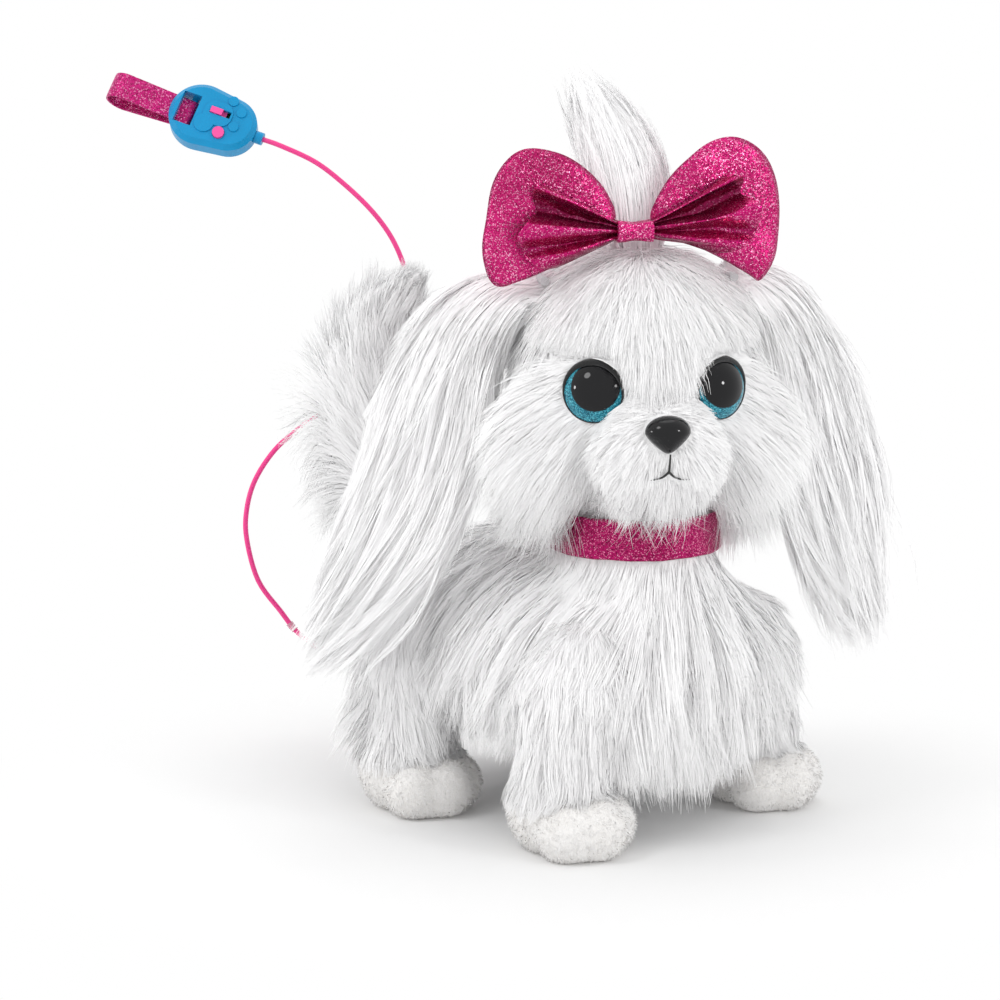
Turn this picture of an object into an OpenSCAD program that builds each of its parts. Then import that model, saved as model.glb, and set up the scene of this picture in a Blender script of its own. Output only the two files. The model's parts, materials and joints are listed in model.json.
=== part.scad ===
// Plush walking puppy on a wired leash with a hand remote.
// Millimetres, +Z up, standing on Z = 0. The puppy faces -Y and its left side is +X.

/* [Stance] */
// Distance between the middles of the left and right paws
track = 126; // [122:1:132]
// Distance between the front and rear hip axles
wheelbase = 102; // [98:1:106]
// Height of the hip axles above the floor
hip_z = 78; // [74:1:84]
// Swing of each leg to either side of upright, in degrees
leg_swing = 9; // [4:1:10]
// Lever from a hip axle up to its link pin
leg_lever = 20; // [18:1:21]

/* [Torso] */
// Width of the stuffed torso with its coat
torso_w = 132; // [124:1:136]
// Height of the stuffed torso with its coat
torso_h = 98; // [92:1:102]
// Reach of the chest ahead of the middle of the stance
torso_front = 80; // [76:1:84]
// Reach of the rump behind the middle of the stance
torso_rear = 96; // [94:1:99]
// Distance of the neck ahead of the middle of the stance
neck_ahead = 34; // [32:1:36]
// Radius of the neck under the collar
neck_r = 38.5; // [36:0.5:40]
// Height of the collar band
collar_h = 20; // [14:1:22]
// Thickness of the collar band
collar_t = 1.6; // [1:0.2:2]

/* [Chassis] */
// Width of the closed plastic chassis
chassis_w = 60; // [58:1:62]
// Wall thickness of the chassis
wall = 2; // [1.6:0.2:2.4]
// Radius of the hip axles
axle_r = 3; // [2.5:0.1:3.2]
// Radius of the shells' screws
screw_r = 1.3; // [1.1:0.1:1.5]
// Radial play of every turning fit
running_fit = 0.05; // [0.03:0.01:0.09]

/* [Gears] */
// Tooth module of the spur gears
gear_m = 0.7; // [0.65:0.05:0.7]
// Play between meshing teeth, across the flank
backlash = 0.16; // [0.12:0.02:0.2]

/* [Head] */
// Turn of the head to the puppy's right, in degrees
head_turn = 33; // [0:1:35]
// Radius of the skull with its coat
skull_r = 59; // [57:1:60]
// Height of the skull's middle above the hip axles
skull_up = 137; // [135:1:139]
// Diameter of an eye
eye_d = 28; // [24:1:29]
// Distance between the middles of the eyes
eye_gap = 58; // [54:1:62]
// Width of the nose
nose_w = 20; // [16:1:22]
// Width of the hair bow
bow_w = 134; // [120:1:140]
// Height of the topknot above the skull
topknot_h = 70; // [50:1:80]
// Hanging length of an ear
ear_drop = 172; // [150:1:180]
// Greatest width of an ear
ear_w = 58; // [46:1:64]
// Greatest thickness of an ear
ear_t = 14; // [10:1:16]

/* [Leash] */
// Diameter of the leash cord
cord_d = 2.6; // [2:0.1:3]
// Length of the remote's case
remote_l = 46; // [44:1:50]
// Width of the remote's case
remote_w = 33; // [32:1:36]
// Half of the remote's thickness
remote_h = 6.5; // [6.5:0.1:7.5]
// Width of the wrist strap
strap_w = 14; // [10:1:15]
// Length of the wrist strap's loop
strap_l = 42; // [40:1:60]
// Travel of the power slider
slider_travel = 4; // [2:0.5:4]
// Travel of the walk button
button_travel = 1; // [0.5:0.1:1]

/* [Hidden] */
$fn = 64;

// Middle of the whole footprint, which is moved to the origin
footprint_middle = [-2.2, 98.6];

// General gaps
seat_gap = 0.3;
skin_gap = 0.8;

// Chassis box
chassis_front = -(wheelbase / 2 + 7);
chassis_rear = wheelbase / 2 + 11;
chassis_l = chassis_rear - chassis_front;
chassis_y = (chassis_front + chassis_rear) / 2;
chassis_z0 = hip_z - 28;
chassis_h = 66;
chassis_top = chassis_z0 + chassis_h;
chassis_corner = 14;
half_w = chassis_w / 2;
screw_posts = [
    [chassis_front + 8, chassis_z0 + 10],
    [chassis_rear - 12, chassis_z0 + 10],
    [30, chassis_top - 7.5],
    [chassis_rear - 7, chassis_top - 16]
];
screw_head_r = 2 * screw_r;
screw_head_h = 2;
screw_reach = 14;
screw_play = 0.2;
boss_r = 4;
speaker_r = 9;
speaker_rim_t = 3;
speaker_t = 6;
speaker_z = hip_z + 14;

// Battery tray and cells
cell_r = 7.1;
cell_l = 49.1;
cell_pitch = 14.8;
cell_play = 1;
cell_headroom = 2.2;
nub_r = 2.6;
nub_l = 1.4;
contact_t = 0.6;
spring_l = 5.1;
tray_wall = 1.6;
tray_w = 2 * (cell_pitch + cell_r + cell_play + tray_wall);
tray_front = -31;
tray_rear = tray_front + cell_l + nub_l + spring_l + 2 * (tray_wall + contact_t);
tray_z0 = chassis_z0 + wall;
tray_h = 2 * cell_r + cell_headroom + tray_wall;
door_lip = 3;
door_t = 1.6;
door_screw_at = [12, tray_front - 5];

// Drive
small_teeth = 14;
large_teeth = 42;
centre_play = 0.1;
gear_reach = gear_m * (small_teeth + large_teeth) / 2 + centre_play;
link_z = hip_z + leg_lever;
crank_y = 8;
idler_y = crank_y - gear_reach;
motor_y = idler_y - gear_reach;
crank_throw = leg_lever * sin(leg_swing);
crank_r = 2.5;
crank_disc_r = crank_throw + 4;
crank_disc_t = 2.2;
crank_pin_r = 1.5;
side_play = 0.4;
idler_r = 1.5;
motor_shaft_r = 1;
motor_r = 10;
motor_flat = 7.7;
motor_l = 25;
plate_t = 2;
plate_x = [-plate_t, 14];
gear_face = 4.4;
large_x = 1.8;
small_x = 7;

// Links beside the chassis
link_x = half_w + side_play + crank_disc_t + side_play;
link_t = 3;
link_half_h = 3.5;
link_pin_r = 2;
link_play = 0.5;
leg_x = link_x + link_t + 2.5;
leg_plate_t = 4;
leg_hub_r = 6;
clip_x = leg_x + leg_plate_t + side_play;
clip_t = 1.5;
clip_r = 5.5;

// Legs and paws
thigh_r = 33;
thigh_x0 = leg_x + 1;
thigh_x1 = track / 2 + 17;
thigh_round = 12;
shank_r = 25;
paw_x = track / 2;
paw_r = 26;
paw_z = 20;
toe_r = 17;
toe_z = 13;
toe_places = [[-10, -15], [0, -20], [10, -15]];
ankle_z = 28;
ankle_t = 5;
foot_plate = [28, 36, 3];
sole_z = 2;

// Tail
tail_pivot_y = chassis_rear + 7;
tail_arm = 16;
tail_pin_r = 2;
tail_arm_pin_r = 1.5;
tail_rod_r = 4;
tail_rod_l = 68;
tail_rod_slope = 45;
tail_hub_r = 5.5;
tail_finger = [10, 6];
tail_opening_r = 15;

// Neck and head
neck_y = -neck_ahead;
neck_top = hip_z + 72;
collar_z = neck_top - 1 - collar_h;
post_r = 7;
post_flange_r = 12;
frame_z = hip_z + 88;
frame_disc_r = 30;
frame_disc_t = 4;
frame_tube_r = 11;
frame_top = frame_z + 40;
skull_z = hip_z + skull_up;
cheek_r = 36;
cheek_at = [30, -12, skull_z - 27];
throat_r = 36;
muzzle_r = 31;
muzzle_at = [0, -40, skull_z - 28];
eye_at = [eye_gap / 2, -44, skull_z - 6.5];
eye_out = 27;
eye_up = 4;
eye_dome_r = eye_d / 2 + 3;
eye_base = sqrt(pow(eye_dome_r, 2) - pow(eye_d / 2, 2));
stem_r = 2.4;
stem_l = 13;
washer_r = 7;
washer_t = 2;
washer_back = 8;
nose_at = [0, -66, skull_z - 22.5];
nose_seat_r = nose_w / 2 + 2;
thread_r = 0.6;
mouth_low = 21.5;
mouth_high = 9;
mouth_part = 3;
mouth_wide = 14;
mouth_sag = 106;
bow_at = [-5, -12, skull_z + skull_r + 3];
bow_t = 4;
loop_depth = 12;
ear_root = [50, 7, skull_z + 31];
ear_sides = 16;
ear_wire_at = [44, 5, skull_z + 39];
ear_wire_r = 2;
ear_wire_l = 26;

// Remote: its own frame has the cord end along +X and the face along +Z
remote_at = [-18, 249, 310 + hip_z - 78];
remote_heading = -43.4;
remote_lean = 62;
remote_roll = -21;
remote_big = remote_w / 2;
remote_small = remote_big - 2;
remote_wall = 1.8;
remote_bevel = 2.5;
remote_inner = -8;
window_x = [-remote_l / 2 + 4.5, -remote_l / 2 + 14];
window_y = strap_w / 2 + 1.5;
rim_z = 2.6;
bar_r = 1.8;
bar_at = [window_x[0] + 5, -2.2];
strap_t = 1.2;
strap_end_r = 7;
slider_at = [1, 3.4];
slider_size = [6.3, 3.2];
slider_proud = 1;
button_at = [6, -7.2];
button_r = 3;
button_proud = button_travel + 0.5;
nozzle_l = 4;
nozzle_r = 3.2;
toe_bumps = [[13, 7], [12, -1.5], [7, 11.5]];
remote_screw_at = [[16.5, 5], [-4, -11.5]];
remote_screw_r = 1;

// Leash route, from the rump to the remote's nozzle
gland_z = chassis_z0 + 10;
gland_r = 5;
gland_l = 38;
gland_flange_r = gland_r + 1.5;
gland_flange_t = 2;
gland_seat = 5;
route = [
    [0, 70, 60], [0, 100, 60], [0, 130, 56], [-2, 160, 49], [-6, 182, 46], [-10, 196, 52],
    [-15, 204, 63], [-23, 212, 79], [-26, 217, 100], [-25, 218, 115], [-20, 217, 130], [-11, 212, 145],
    [0, 205, 156], [18, 193, 172], [36, 181, 195], [46, 177, 218], [49, 177, 229], [48, 180, 240],
    [45, 186, 253], [38, 193, 266], [28, 202, 279], [17, 211, 290]
];
rings_per_span = 3;
cord_play = 0.1;
cord_sides = 8;

// Puts a piece of the remote in its place
module on_remote() {
    translate(remote_at)
        rotate([0, 0, remote_heading])
            rotate([remote_lean, 0, 0])
                rotate([0, 0, remote_roll])
                    children();
}

// Puts a piece of the head in its place: local -Y is the way the nose points
module on_head() {
    translate([0, neck_y, 0])
        rotate([0, 0, -head_turn])
            children();
}

// Puts a piece of a leg in its place: side is 1 for left, end is -1 for front
module on_leg(side, end) {
    mirror([side < 0 ? 1 : 0, 0, 0])
        translate([0, end * wheelbase / 2, 0])
            children();
}

// Moves the whole puppy so that the middle of its footprint is the origin
module placed() {
    translate([-footprint_middle.x, -footprint_middle.y, 0])
        children();
}

module block(lo, hi) {
    translate(lo)
        cube(hi - lo);
}

module x_rod(x0, x1, y, z, r) {
    translate([x0, y, z])
        rotate([0, 90, 0])
            cylinder(r = r, h = x1 - x0);
}

module y_rod(x, y0, y1, z, r) {
    translate([x, y0, z])
        rotate([-90, 0, 0])
            cylinder(r = r, h = y1 - y0);
}

module z_rod(x, y, z0, z1, r) {
    translate([x, y, z0])
        cylinder(r = r, h = z1 - z0);
}

// Extrudes a flat outline drawn in Y and Z along X
module along_x(x0, x1) {
    translate([x0, 0, 0])
        rotate([90, 0, 90])
            linear_extrude(x1 - x0)
                children();
}

module rounded_rect(w, h, r) {
    square([w - 2 * r, h], center = true);
    square([w, h - 2 * r], center = true);
    for (x = [-1, 1], y = [-1, 1])
        translate([x * (w / 2 - r), y * (h / 2 - r)])
            circle(r = r);
}

function unit(v) = v / norm(v);
function oval(c, u, v, n) = [for (j = [0 : n - 1]) c + u * cos(360 * j / n) + v * sin(360 * j / n)];

// A closed skin over a stack of rings that hold the same number of points
module loft(rings) {
    n = len(rings[0]);
    m = len(rings);
    sides = [
        for (i = [0 : m - 2], j = [0 : n - 1])
            let (a = i * n + j, b = i * n + (j + 1) % n)
                each [[a, b + n, b], [a, a + n, b + n]]
    ];
    caps = [[for (j = [0 : n - 1]) j], [for (j = [n - 1 : -1 : 0]) (m - 1) * n + j]];
    polyhedron([for (r = rings) each r], concat(sides, caps), convexity = 6);
}

// A point on a smooth curve through the points p, at share t of the span after point i
function spline(p, i, t) =
    let (
        a = p[max(i - 1, 0)],
        b = p[i],
        c = p[min(i + 1, len(p) - 1)],
        d = p[min(i + 2, len(p) - 1)]
    )
    b + 0.5 * t * ((c - a) + t * ((2 * a - 5 * b + 4 * c - d) + t * (3 * b - a - 3 * c + d)));

function smooth_path(p, steps) = [
    for (i = [0 : len(p) - 2], k = [0 : steps - 1]) spline(p, i, k / steps),
    p[len(p) - 1]
];

// Torso

torso_mid = (torso_rear - torso_front) / 2;
torso_half = (torso_rear + torso_front) / 2;
torso_z = hip_z + 8;
torso_rings = 16;
torso_sides = 28;

function torso_share(s) = pow(1 - pow(abs(s), 4), 0.25);

module torso_form() {
    loft([
        for (i = [0 : torso_rings])
            let (s = 0.995 * sin(180 * i / torso_rings - 90), f = torso_share(s))
                oval([0, torso_mid + torso_half * s, torso_z], [0, 0, f * torso_h / 2],
                    [f * torso_w / 2, 0, 0], torso_sides)
    ]);
}

links_rear = tail_pivot_y + tail_finger.y / 2 + crank_throw + skin_gap;

// Room for the chassis, the links beside it and the tail lever behind it
module torso_hollow() {
    block([-half_w, chassis_front, chassis_z0], [half_w, chassis_rear, chassis_top]);
    block([-leg_x - 0.2, -wheelbase / 2 - 9, hip_z - 12], [leg_x + 0.2, links_rear, link_z + 10]);
    block([-8, chassis_rear - 1, hip_z + 5], [8, chassis_rear + 15, hip_z + 34]);
    block([-tray_w / 2 - 3, door_screw_at.y - 5, chassis_z0 - 20],
        [tray_w / 2 + 3, tray_rear + 4, chassis_z0 + 1]);
}

// Round wells that the thighs turn in, open below for the shanks
module leg_wells() {
    for (side = [-1, 1], end = [-1, 1])
        on_leg(side, end) {
            x_rod(leg_x, track, 0, hip_z, thigh_r + skin_gap);
            block([leg_x, -thigh_r - skin_gap, 0], [track, thigh_r + skin_gap, hip_z]);
        }
}

module tail_opening() {
    translate([0, tail_pivot_y, hip_z + 17])
        rotate([-tail_rod_slope, 0, 0])
            cylinder(r = tail_opening_r, h = tail_rod_l);
}

module body_plush() {
    color("white")
        difference() {
            union() {
                torso_form();
                z_rod(0, neck_y, torso_z, neck_top, neck_r);
            }
            torso_hollow();
            leg_wells();
            tail_opening();
            z_rod(0, neck_y, chassis_top - 1, neck_top + 1, post_flange_r + seat_gap);
            y_rod(0, chassis_rear - 1, torso_rear + 20, gland_z, gland_r + seat_gap);
            difference() {
                z_rod(0, neck_y, collar_z - seat_gap, neck_top, neck_r + collar_t + 2);
                z_rod(0, neck_y, collar_z - 1, neck_top + 1, neck_r);
            }
        }
}

module collar() {
    color("mediumvioletred")
        difference() {
            z_rod(0, neck_y, collar_z, collar_z + collar_h, neck_r + collar_t);
            z_rod(0, neck_y, collar_z - 1, collar_z + collar_h + 1, neck_r);
        }
}

// Chassis

module chassis_profile(inset) {
    translate([chassis_y, chassis_z0 + chassis_h / 2])
        rounded_rect(chassis_l - 2 * inset, chassis_h - 2 * inset, chassis_corner - inset);
}

module chassis_bores() {
    for (end = [-1, 1])
        x_rod(-1, half_w + 1, end * wheelbase / 2, hip_z, axle_r);
    x_rod(-1, half_w + 1, crank_y, link_z, crank_r + running_fit);
    z_rod(0, neck_y, chassis_top - wall - 1, chassis_top + 1, post_r);
    y_rod(0, chassis_rear - wall - 1, chassis_rear + 1, gland_z, gland_r);
    y_rod(0, chassis_rear - wall - gland_seat, chassis_rear - wall, gland_z, gland_flange_r + seat_gap);
    block([-1, tray_front + tray_wall, chassis_z0 - 1],
        [tray_w / 2 - tray_wall, tray_rear - tray_wall, tray_z0 + 1]);
    for (x = [0, 4], z = [-4, 0, 4])
        y_rod(x, chassis_front - 1, chassis_front + wall + 1, speaker_z + z, 1);
}

// The left half, with plain posts where the screws go
module chassis_shell() {
    difference() {
        union() {
            difference() {
                along_x(0, half_w) chassis_profile(0);
                along_x(-1, half_w - wall) chassis_profile(wall);
            }
            for (p = screw_posts)
                x_rod(0, half_w - wall / 2, p.x, p.y, boss_r);
        }
        chassis_bores();
    }
}

module chassis_left() {
    color("gainsboro")
        difference() {
            union() {
                chassis_shell();
                z_rod(door_screw_at.x, door_screw_at.y, chassis_z0 + 1, chassis_z0 + 9, boss_r);
            }
            for (p = screw_posts)
                x_rod(-1, screw_reach + 1, p.x, p.y, screw_r);
            z_rod(door_screw_at.x, door_screw_at.y, chassis_z0 - 1, chassis_z0 + 8, screw_r);
        }
}

module chassis_right() {
    color("lightgray")
        difference() {
            mirror([1, 0, 0])
                chassis_shell();
            for (p = screw_posts) {
                x_rod(-half_w - 1, 1, p.x, p.y, screw_r + screw_play);
                x_rod(-half_w - 1, -half_w + screw_head_h, p.x, p.y, screw_head_r + screw_play);
            }
        }
}

// Four case screws and the screw of the battery door
module chassis_screws() {
    color("silver") {
        for (p = screw_posts) {
            x_rod(-half_w, -half_w + screw_head_h, p.x, p.y, screw_head_r);
            x_rod(-half_w, screw_reach, p.x, p.y, screw_r);
        }
        z_rod(door_screw_at.x, door_screw_at.y, chassis_z0 - door_t, chassis_z0 + 7, screw_r);
        z_rod(door_screw_at.x, door_screw_at.y, chassis_z0 - door_t - 1.5, chassis_z0 - door_t,
            screw_head_r);
    }
}

module battery_tray() {
    color("dimgray")
        difference() {
            block([-tray_w / 2, tray_front, tray_z0], [tray_w / 2, tray_rear, tray_z0 + tray_h]);
            block([-tray_w / 2 + tray_wall, tray_front + tray_wall, tray_z0 - 1],
                [tray_w / 2 - tray_wall, tray_rear - tray_wall, tray_z0 + tray_h - tray_wall]);
        }
}

cells_front = tray_front + tray_wall + contact_t;
cells_rear = tray_rear - tray_wall - contact_t;
cell_z = tray_z0 + cell_r;
spring_turns = 5;

// Turns every second cell end for end about the tray's middle
module cell_place(i) {
    translate([i * cell_pitch, (cells_front + cells_rear) / 2, cell_z])
        rotate([0, 0, i == 0 ? 0 : 180])
            translate([0, -(cells_rear - cells_front) / 2, 0])
                children();
}

module batteries() {
    color("darkgoldenrod")
        for (i = [-1 : 1])
            cell_place(i) {
                y_rod(0, 0, nub_l, 0, nub_r);
                y_rod(0, nub_l, nub_l + cell_l, 0, cell_r);
            }
}

// End plates, and a spring of touching turns behind each cell
module battery_contacts() {
    color("silver") {
        for (y = [cells_front - contact_t, cells_rear])
            block([-tray_w / 2 + tray_wall, y, tray_z0 + 2],
                [tray_w / 2 - tray_wall, y + contact_t, tray_z0 + tray_h - tray_wall]);
        for (i = [-1 : 1])
            cell_place(i)
                for (k = [0 : spring_turns - 1])
                    translate([0, nub_l + cell_l + (k + 0.5) * spring_l / spring_turns, 0])
                        rotate([90, 0, 0])
                            rotate_extrude()
                                translate([3, 0])
                                    circle(r = spring_l / spring_turns / 2, $fn = 24);
    }
}

module battery_door() {
    color("gainsboro")
        difference() {
            union() {
                block([-tray_w / 2 - door_lip / 2, door_screw_at.y - 4, chassis_z0 - door_t],
                    [tray_w / 2 + door_lip / 2, tray_rear + door_lip, chassis_z0]);
                block([-tray_w / 2 + tray_wall + seat_gap, tray_front + tray_wall + seat_gap,
                    chassis_z0 - 1],
                    [tray_w / 2 - tray_wall - seat_gap, tray_rear - tray_wall - seat_gap, tray_z0]);
            }
            z_rod(door_screw_at.x, door_screw_at.y, chassis_z0 - 10, chassis_z0 + 1, screw_r + screw_play);
        }
}

// Drive

module motor() {
    color("silver")
        difference() {
            intersection() {
                x_rod(plate_x[0] - motor_l, plate_x[0], motor_y, link_z, motor_r);
                block([-40, motor_y - motor_r, link_z - motor_flat],
                    [0, motor_y + motor_r, link_z + motor_flat]);
            }
            x_rod(plate_x[0] - 12, 1, motor_y, link_z, motor_shaft_r + running_fit);
        }
}

frame_posts = [[motor_y - 8, hip_z + 8], [idler_y + 10, hip_z + 1], [crank_y + 11, hip_z]];
gearbox_top = chassis_top - wall - 4.5;

// Two plates on three posts, with the idler's pin fixed in them
module gearbox_frame() {
    color("slategray")
        difference() {
            union() {
                for (x = plate_x)
                    block([x, motor_y - 13, tray_z0 + tray_h], [x + plate_t, crank_y + 16, gearbox_top]);
                for (p = frame_posts)
                    x_rod(plate_x[0], plate_x[1] + plate_t, p.x, p.y, 2.5);
                x_rod(plate_x[0], plate_x[1] + plate_t, idler_y, link_z, idler_r);
            }
            x_rod(-30, 30, crank_y, link_z, crank_r + running_fit);
            x_rod(-30, 1, motor_y, link_z, motor_shaft_r + 1);
        }
}

// Half the angle that a tooth takes up at the pitch circle
function tooth_half(n) = 90 / n - (backlash / 2) / (gear_m * n) * 180 / PI;
function involute_angle(base, r) = r <= base ? 0 : sqrt(pow(r / base, 2) - 1) * 180 / PI - acos(base / r);
addendum = 0.8;
dedendum = 1.05;
pressure_angle = 20;
flank_steps = 4;

// The outline of a spur gear with n involute teeth
module gear_outline(n) {
    pitch = gear_m * n / 2;
    base = pitch * cos(pressure_angle);
    tip = pitch + gear_m * addendum;
    root = pitch - gear_m * dedendum;
    half = tooth_half(n) + involute_angle(base, pitch);
    radii = [root, for (k = [0 : flank_steps]) max(base, root) + (tip - max(base, root)) * k / flank_steps];
    polygon([
        for (i = [0 : n - 1])
            each concat(
                [for (r = radii) r * [cos(360 * i / n - half + involute_angle(base, r)),
                    sin(360 * i / n - half + involute_angle(base, r))]],
                [for (k = [len(radii) - 1 : -1 : 0]) let (r = radii[k])
                    r * [cos(360 * i / n + half - involute_angle(base, r)),
                        sin(360 * i / n + half - involute_angle(base, r))]])
    ]);
}

// A gear in Y and Z, turned by its first tooth's angle
module gear(n, x0, x1, y, turn) {
    along_x(x0, x1)
        translate([y, link_z])
            rotate(turn)
                gear_outline(n);
}

// Angles at which a tooth of one gear faces a gap of the next along Y
gap_turn = 180 / small_teeth;

module motor_pinion() {
    color("gold") {
        gear(small_teeth, large_x - 0.3, large_x + gear_face + 0.3, motor_y, gap_turn);
        x_rod(plate_x[0] - 11, large_x + gear_face + 1, motor_y, link_z, motor_shaft_r);
    }
}

module idler_gear() {
    color("ivory")
        difference() {
            union() {
                gear(large_teeth, large_x, large_x + gear_face, idler_y, 0);
                gear(small_teeth, large_x, small_x + gear_face + 0.3, idler_y, gap_turn);
                x_rod(0.2, plate_x[1] - 0.2, idler_y, link_z, idler_r + 1.6);
            }
            x_rod(-1, 20, idler_y, link_z, idler_r + running_fit);
        }
}

module main_gear() {
    color("ivory")
        difference() {
            union() {
                gear(large_teeth, small_x, small_x + gear_face, crank_y, 0);
                x_rod(large_x, plate_x[1] - 0.3, crank_y, link_z, crank_r + 1.4);
            }
            x_rod(-1, 20, crank_y, link_z, crank_r);
        }
}

// The shaft with a crank disc and pin at each end, half a turn apart
module crankshaft() {
    color("silver") {
        x_rod(-half_w - side_play, half_w + side_play, crank_y, link_z, crank_r);
        for (side = [-1, 1])
            mirror([side < 0 ? 1 : 0, 0, 0]) {
                x_rod(half_w + side_play, half_w + side_play + crank_disc_t, crank_y, link_z, crank_disc_r);
                x_rod(half_w + side_play, link_x + link_t + 0.8, crank_y, link_z + side * crank_throw,
                    crank_pin_r);
            }
    }
}

yoke_half = [2 * crank_throw + crank_pin_r + 0.4, crank_throw + crank_pin_r + 0.4];

// A bar from front lever to rear lever, with a window round the crank pin
module link_bar(rear) {
    difference() {
        union() {
            along_x(link_x, link_x + link_t)
                translate([(rear - wheelbase / 2) / 2, link_z])
                    square([rear + wheelbase / 2, 2 * link_half_h], center = true);
            along_x(link_x, link_x + link_t)
                translate([crank_y, link_z])
                    square([2 * yoke_half.x + 6, 2 * yoke_half.y + 5], center = true);
            for (end = [-1, 1])
                x_rod(link_x, link_x + link_t, end * wheelbase / 2, link_z, link_pin_r + 3);
        }
        along_x(link_x - 1, link_x + link_t + 1)
            translate([crank_y, link_z])
                square(2 * yoke_half, center = true);
        for (end = [-1, 1])
            x_rod(link_x - 1, link_x + link_t + 1, end * wheelbase / 2, link_z, link_pin_r + link_play);
    }
}

// The left bar also carries the finger that swings the tail
module left_link() {
    color("orange")
        difference() {
            union() {
                link_bar(tail_pivot_y + tail_finger.y / 2);
                block([tail_finger.x, tail_pivot_y - tail_finger.y / 2, link_z - link_half_h],
                    [link_x + link_t, tail_pivot_y + tail_finger.y / 2, link_z + link_half_h]);
            }
            z_rod(tail_arm, tail_pivot_y, link_z - 10, link_z + 10, tail_arm_pin_r + link_play);
        }
}

module right_link() {
    color("orange")
        mirror([1, 0, 0])
            link_bar(wheelbase / 2);
}

module hip_axles() {
    color("silver")
        for (end = [-1, 1])
            x_rod(-clip_x - clip_t, clip_x + clip_t, end * wheelbase / 2, hip_z, axle_r);
}

module axle_clips() {
    color("gray")
        for (side = [-1, 1], end = [-1, 1])
            on_leg(side, end)
                difference() {
                    x_rod(clip_x, clip_x + clip_t, 0, hip_z, clip_r);
                    x_rod(clip_x - 1, clip_x + clip_t + 1, 0, hip_z, axle_r);
                }
}

// Electronics

module speaker() {
    color("black") {
        y_rod(0, chassis_front + wall, chassis_front + wall + speaker_rim_t, speaker_z, speaker_r);
        y_rod(0, chassis_front + wall, chassis_front + wall + speaker_t, speaker_z, speaker_r * 0.6);
    }
}

board_y = chassis_rear - 22;

module circuit_board() {
    color("darkgreen") {
        block([-half_w + wall, board_y, hip_z - 4], [half_w - wall, board_y + 1.6, chassis_top - 8]);
        block([-6, board_y - 2, hip_z + 6], [6, board_y, hip_z + 18]);
        y_rod(14, board_y - 7, board_y, hip_z + 20, 4);
    }
}

// Legs

// The plastic bone: hip eye, lever with its link pin, ankle and foot plate
module leg_bone() {
    along_x(leg_x, leg_x + leg_plate_t) {
        translate([0, hip_z])
            circle(r = leg_hub_r + 2);
        translate([0, link_z])
            circle(r = link_pin_r + 3);
        translate([-4, ankle_z])
            square([8, link_z - ankle_z]);
    }
    x_rod(half_w + side_play, leg_x + 1, 0, hip_z, leg_hub_r);
    x_rod(link_x - 0.2, leg_x + 1, 0, link_z, link_pin_r);
    block([leg_x, -4, ankle_z], [paw_x + 3, 4, ankle_z + ankle_t]);
    block([paw_x - 3, -4, sole_z], [paw_x + 3, 4, ankle_z + ankle_t]);
    block([paw_x - foot_plate.x / 2, -foot_plate.y / 2 - 4, sole_z],
        [paw_x + foot_plate.x / 2, foot_plate.y / 2 - 4, sole_z + foot_plate.z]);
}

module leg_frame(side, end) {
    color("lightsteelblue")
        on_leg(side, end)
            difference() {
                leg_bone();
                x_rod(0, track, 0, hip_z, axle_r + running_fit);
            }
}

// Heel and three toes, down to the floor
module paw_form() {
    difference() {
        union() {
            translate([paw_x, 2, paw_z])
                sphere(r = paw_r);
            for (t = toe_places)
                translate([paw_x + t.x, t.y, toe_z])
                    sphere(r = toe_r);
        }
        block([0, -100, -100], [track, 100, 0]);
    }
}

module paw(side, end) {
    color("whitesmoke")
        on_leg(side, end)
            difference() {
                paw_form();
                leg_bone();
            }
}

module leg_plush(side, end) {
    color("white")
        on_leg(side, end)
            difference() {
                union() {
                    x_rod(thigh_x0, thigh_x1 - thigh_round, 0, hip_z, thigh_r);
                    x_rod(thigh_x0, thigh_x1, 0, hip_z, thigh_r - thigh_round);
                    translate([thigh_x1 - thigh_round, 0, hip_z])
                        rotate([0, 90, 0])
                            rotate_extrude()
                                translate([thigh_r - thigh_round, 0])
                                    circle(r = thigh_round);
                    z_rod(paw_x, 0, paw_z + 12, hip_z, shank_r);
                }
                block([0, -track, 0], [thigh_x0, track, 2 * hip_z]);
                paw_form();
                leg_bone();
                x_rod(0, clip_x + clip_t + 1, 0, hip_z, leg_hub_r + 2 + seat_gap);
            }
}

// Tail

tail_hub_z = [link_z - 8, link_z + 8];

// Two eyes on the chassis's rear wall and the pin that the tail turns on
module tail_bracket() {
    color("slategray") {
        block([-7, chassis_rear, tail_hub_z[0] - 5], [7, chassis_rear + 1.4, tail_hub_z[1] + 5]);
        for (z = [tail_hub_z[0] - 5, tail_hub_z[1] + 0.4])
            block([-7, chassis_rear, z], [7, tail_pivot_y + 5, z + 4.6]);
        z_rod(0, tail_pivot_y, tail_hub_z[0] - 5, tail_hub_z[1] + 5, tail_pin_r);
    }
}

module tail_rod(r) {
    translate([0, tail_pivot_y + 2, link_z - 3])
        rotate([-tail_rod_slope, 0, 0])
            cylinder(r = r, h = tail_rod_l);
}

module tail_lever() {
    color("lightsteelblue")
        difference() {
            union() {
                z_rod(0, tail_pivot_y, tail_hub_z[0], tail_hub_z[1], tail_hub_r);
                block([0, tail_pivot_y - 3, link_z + link_half_h + 1.2],
                    [tail_arm + 2, tail_pivot_y + 3, tail_hub_z[1]]);
                z_rod(tail_arm, tail_pivot_y, link_z - link_half_h - 1, tail_hub_z[1], tail_arm_pin_r);
                tail_rod(tail_rod_r);
            }
            z_rod(0, tail_pivot_y, tail_hub_z[0] - 1, tail_hub_z[1] + 1, tail_pin_r + running_fit);
        }
}

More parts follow.
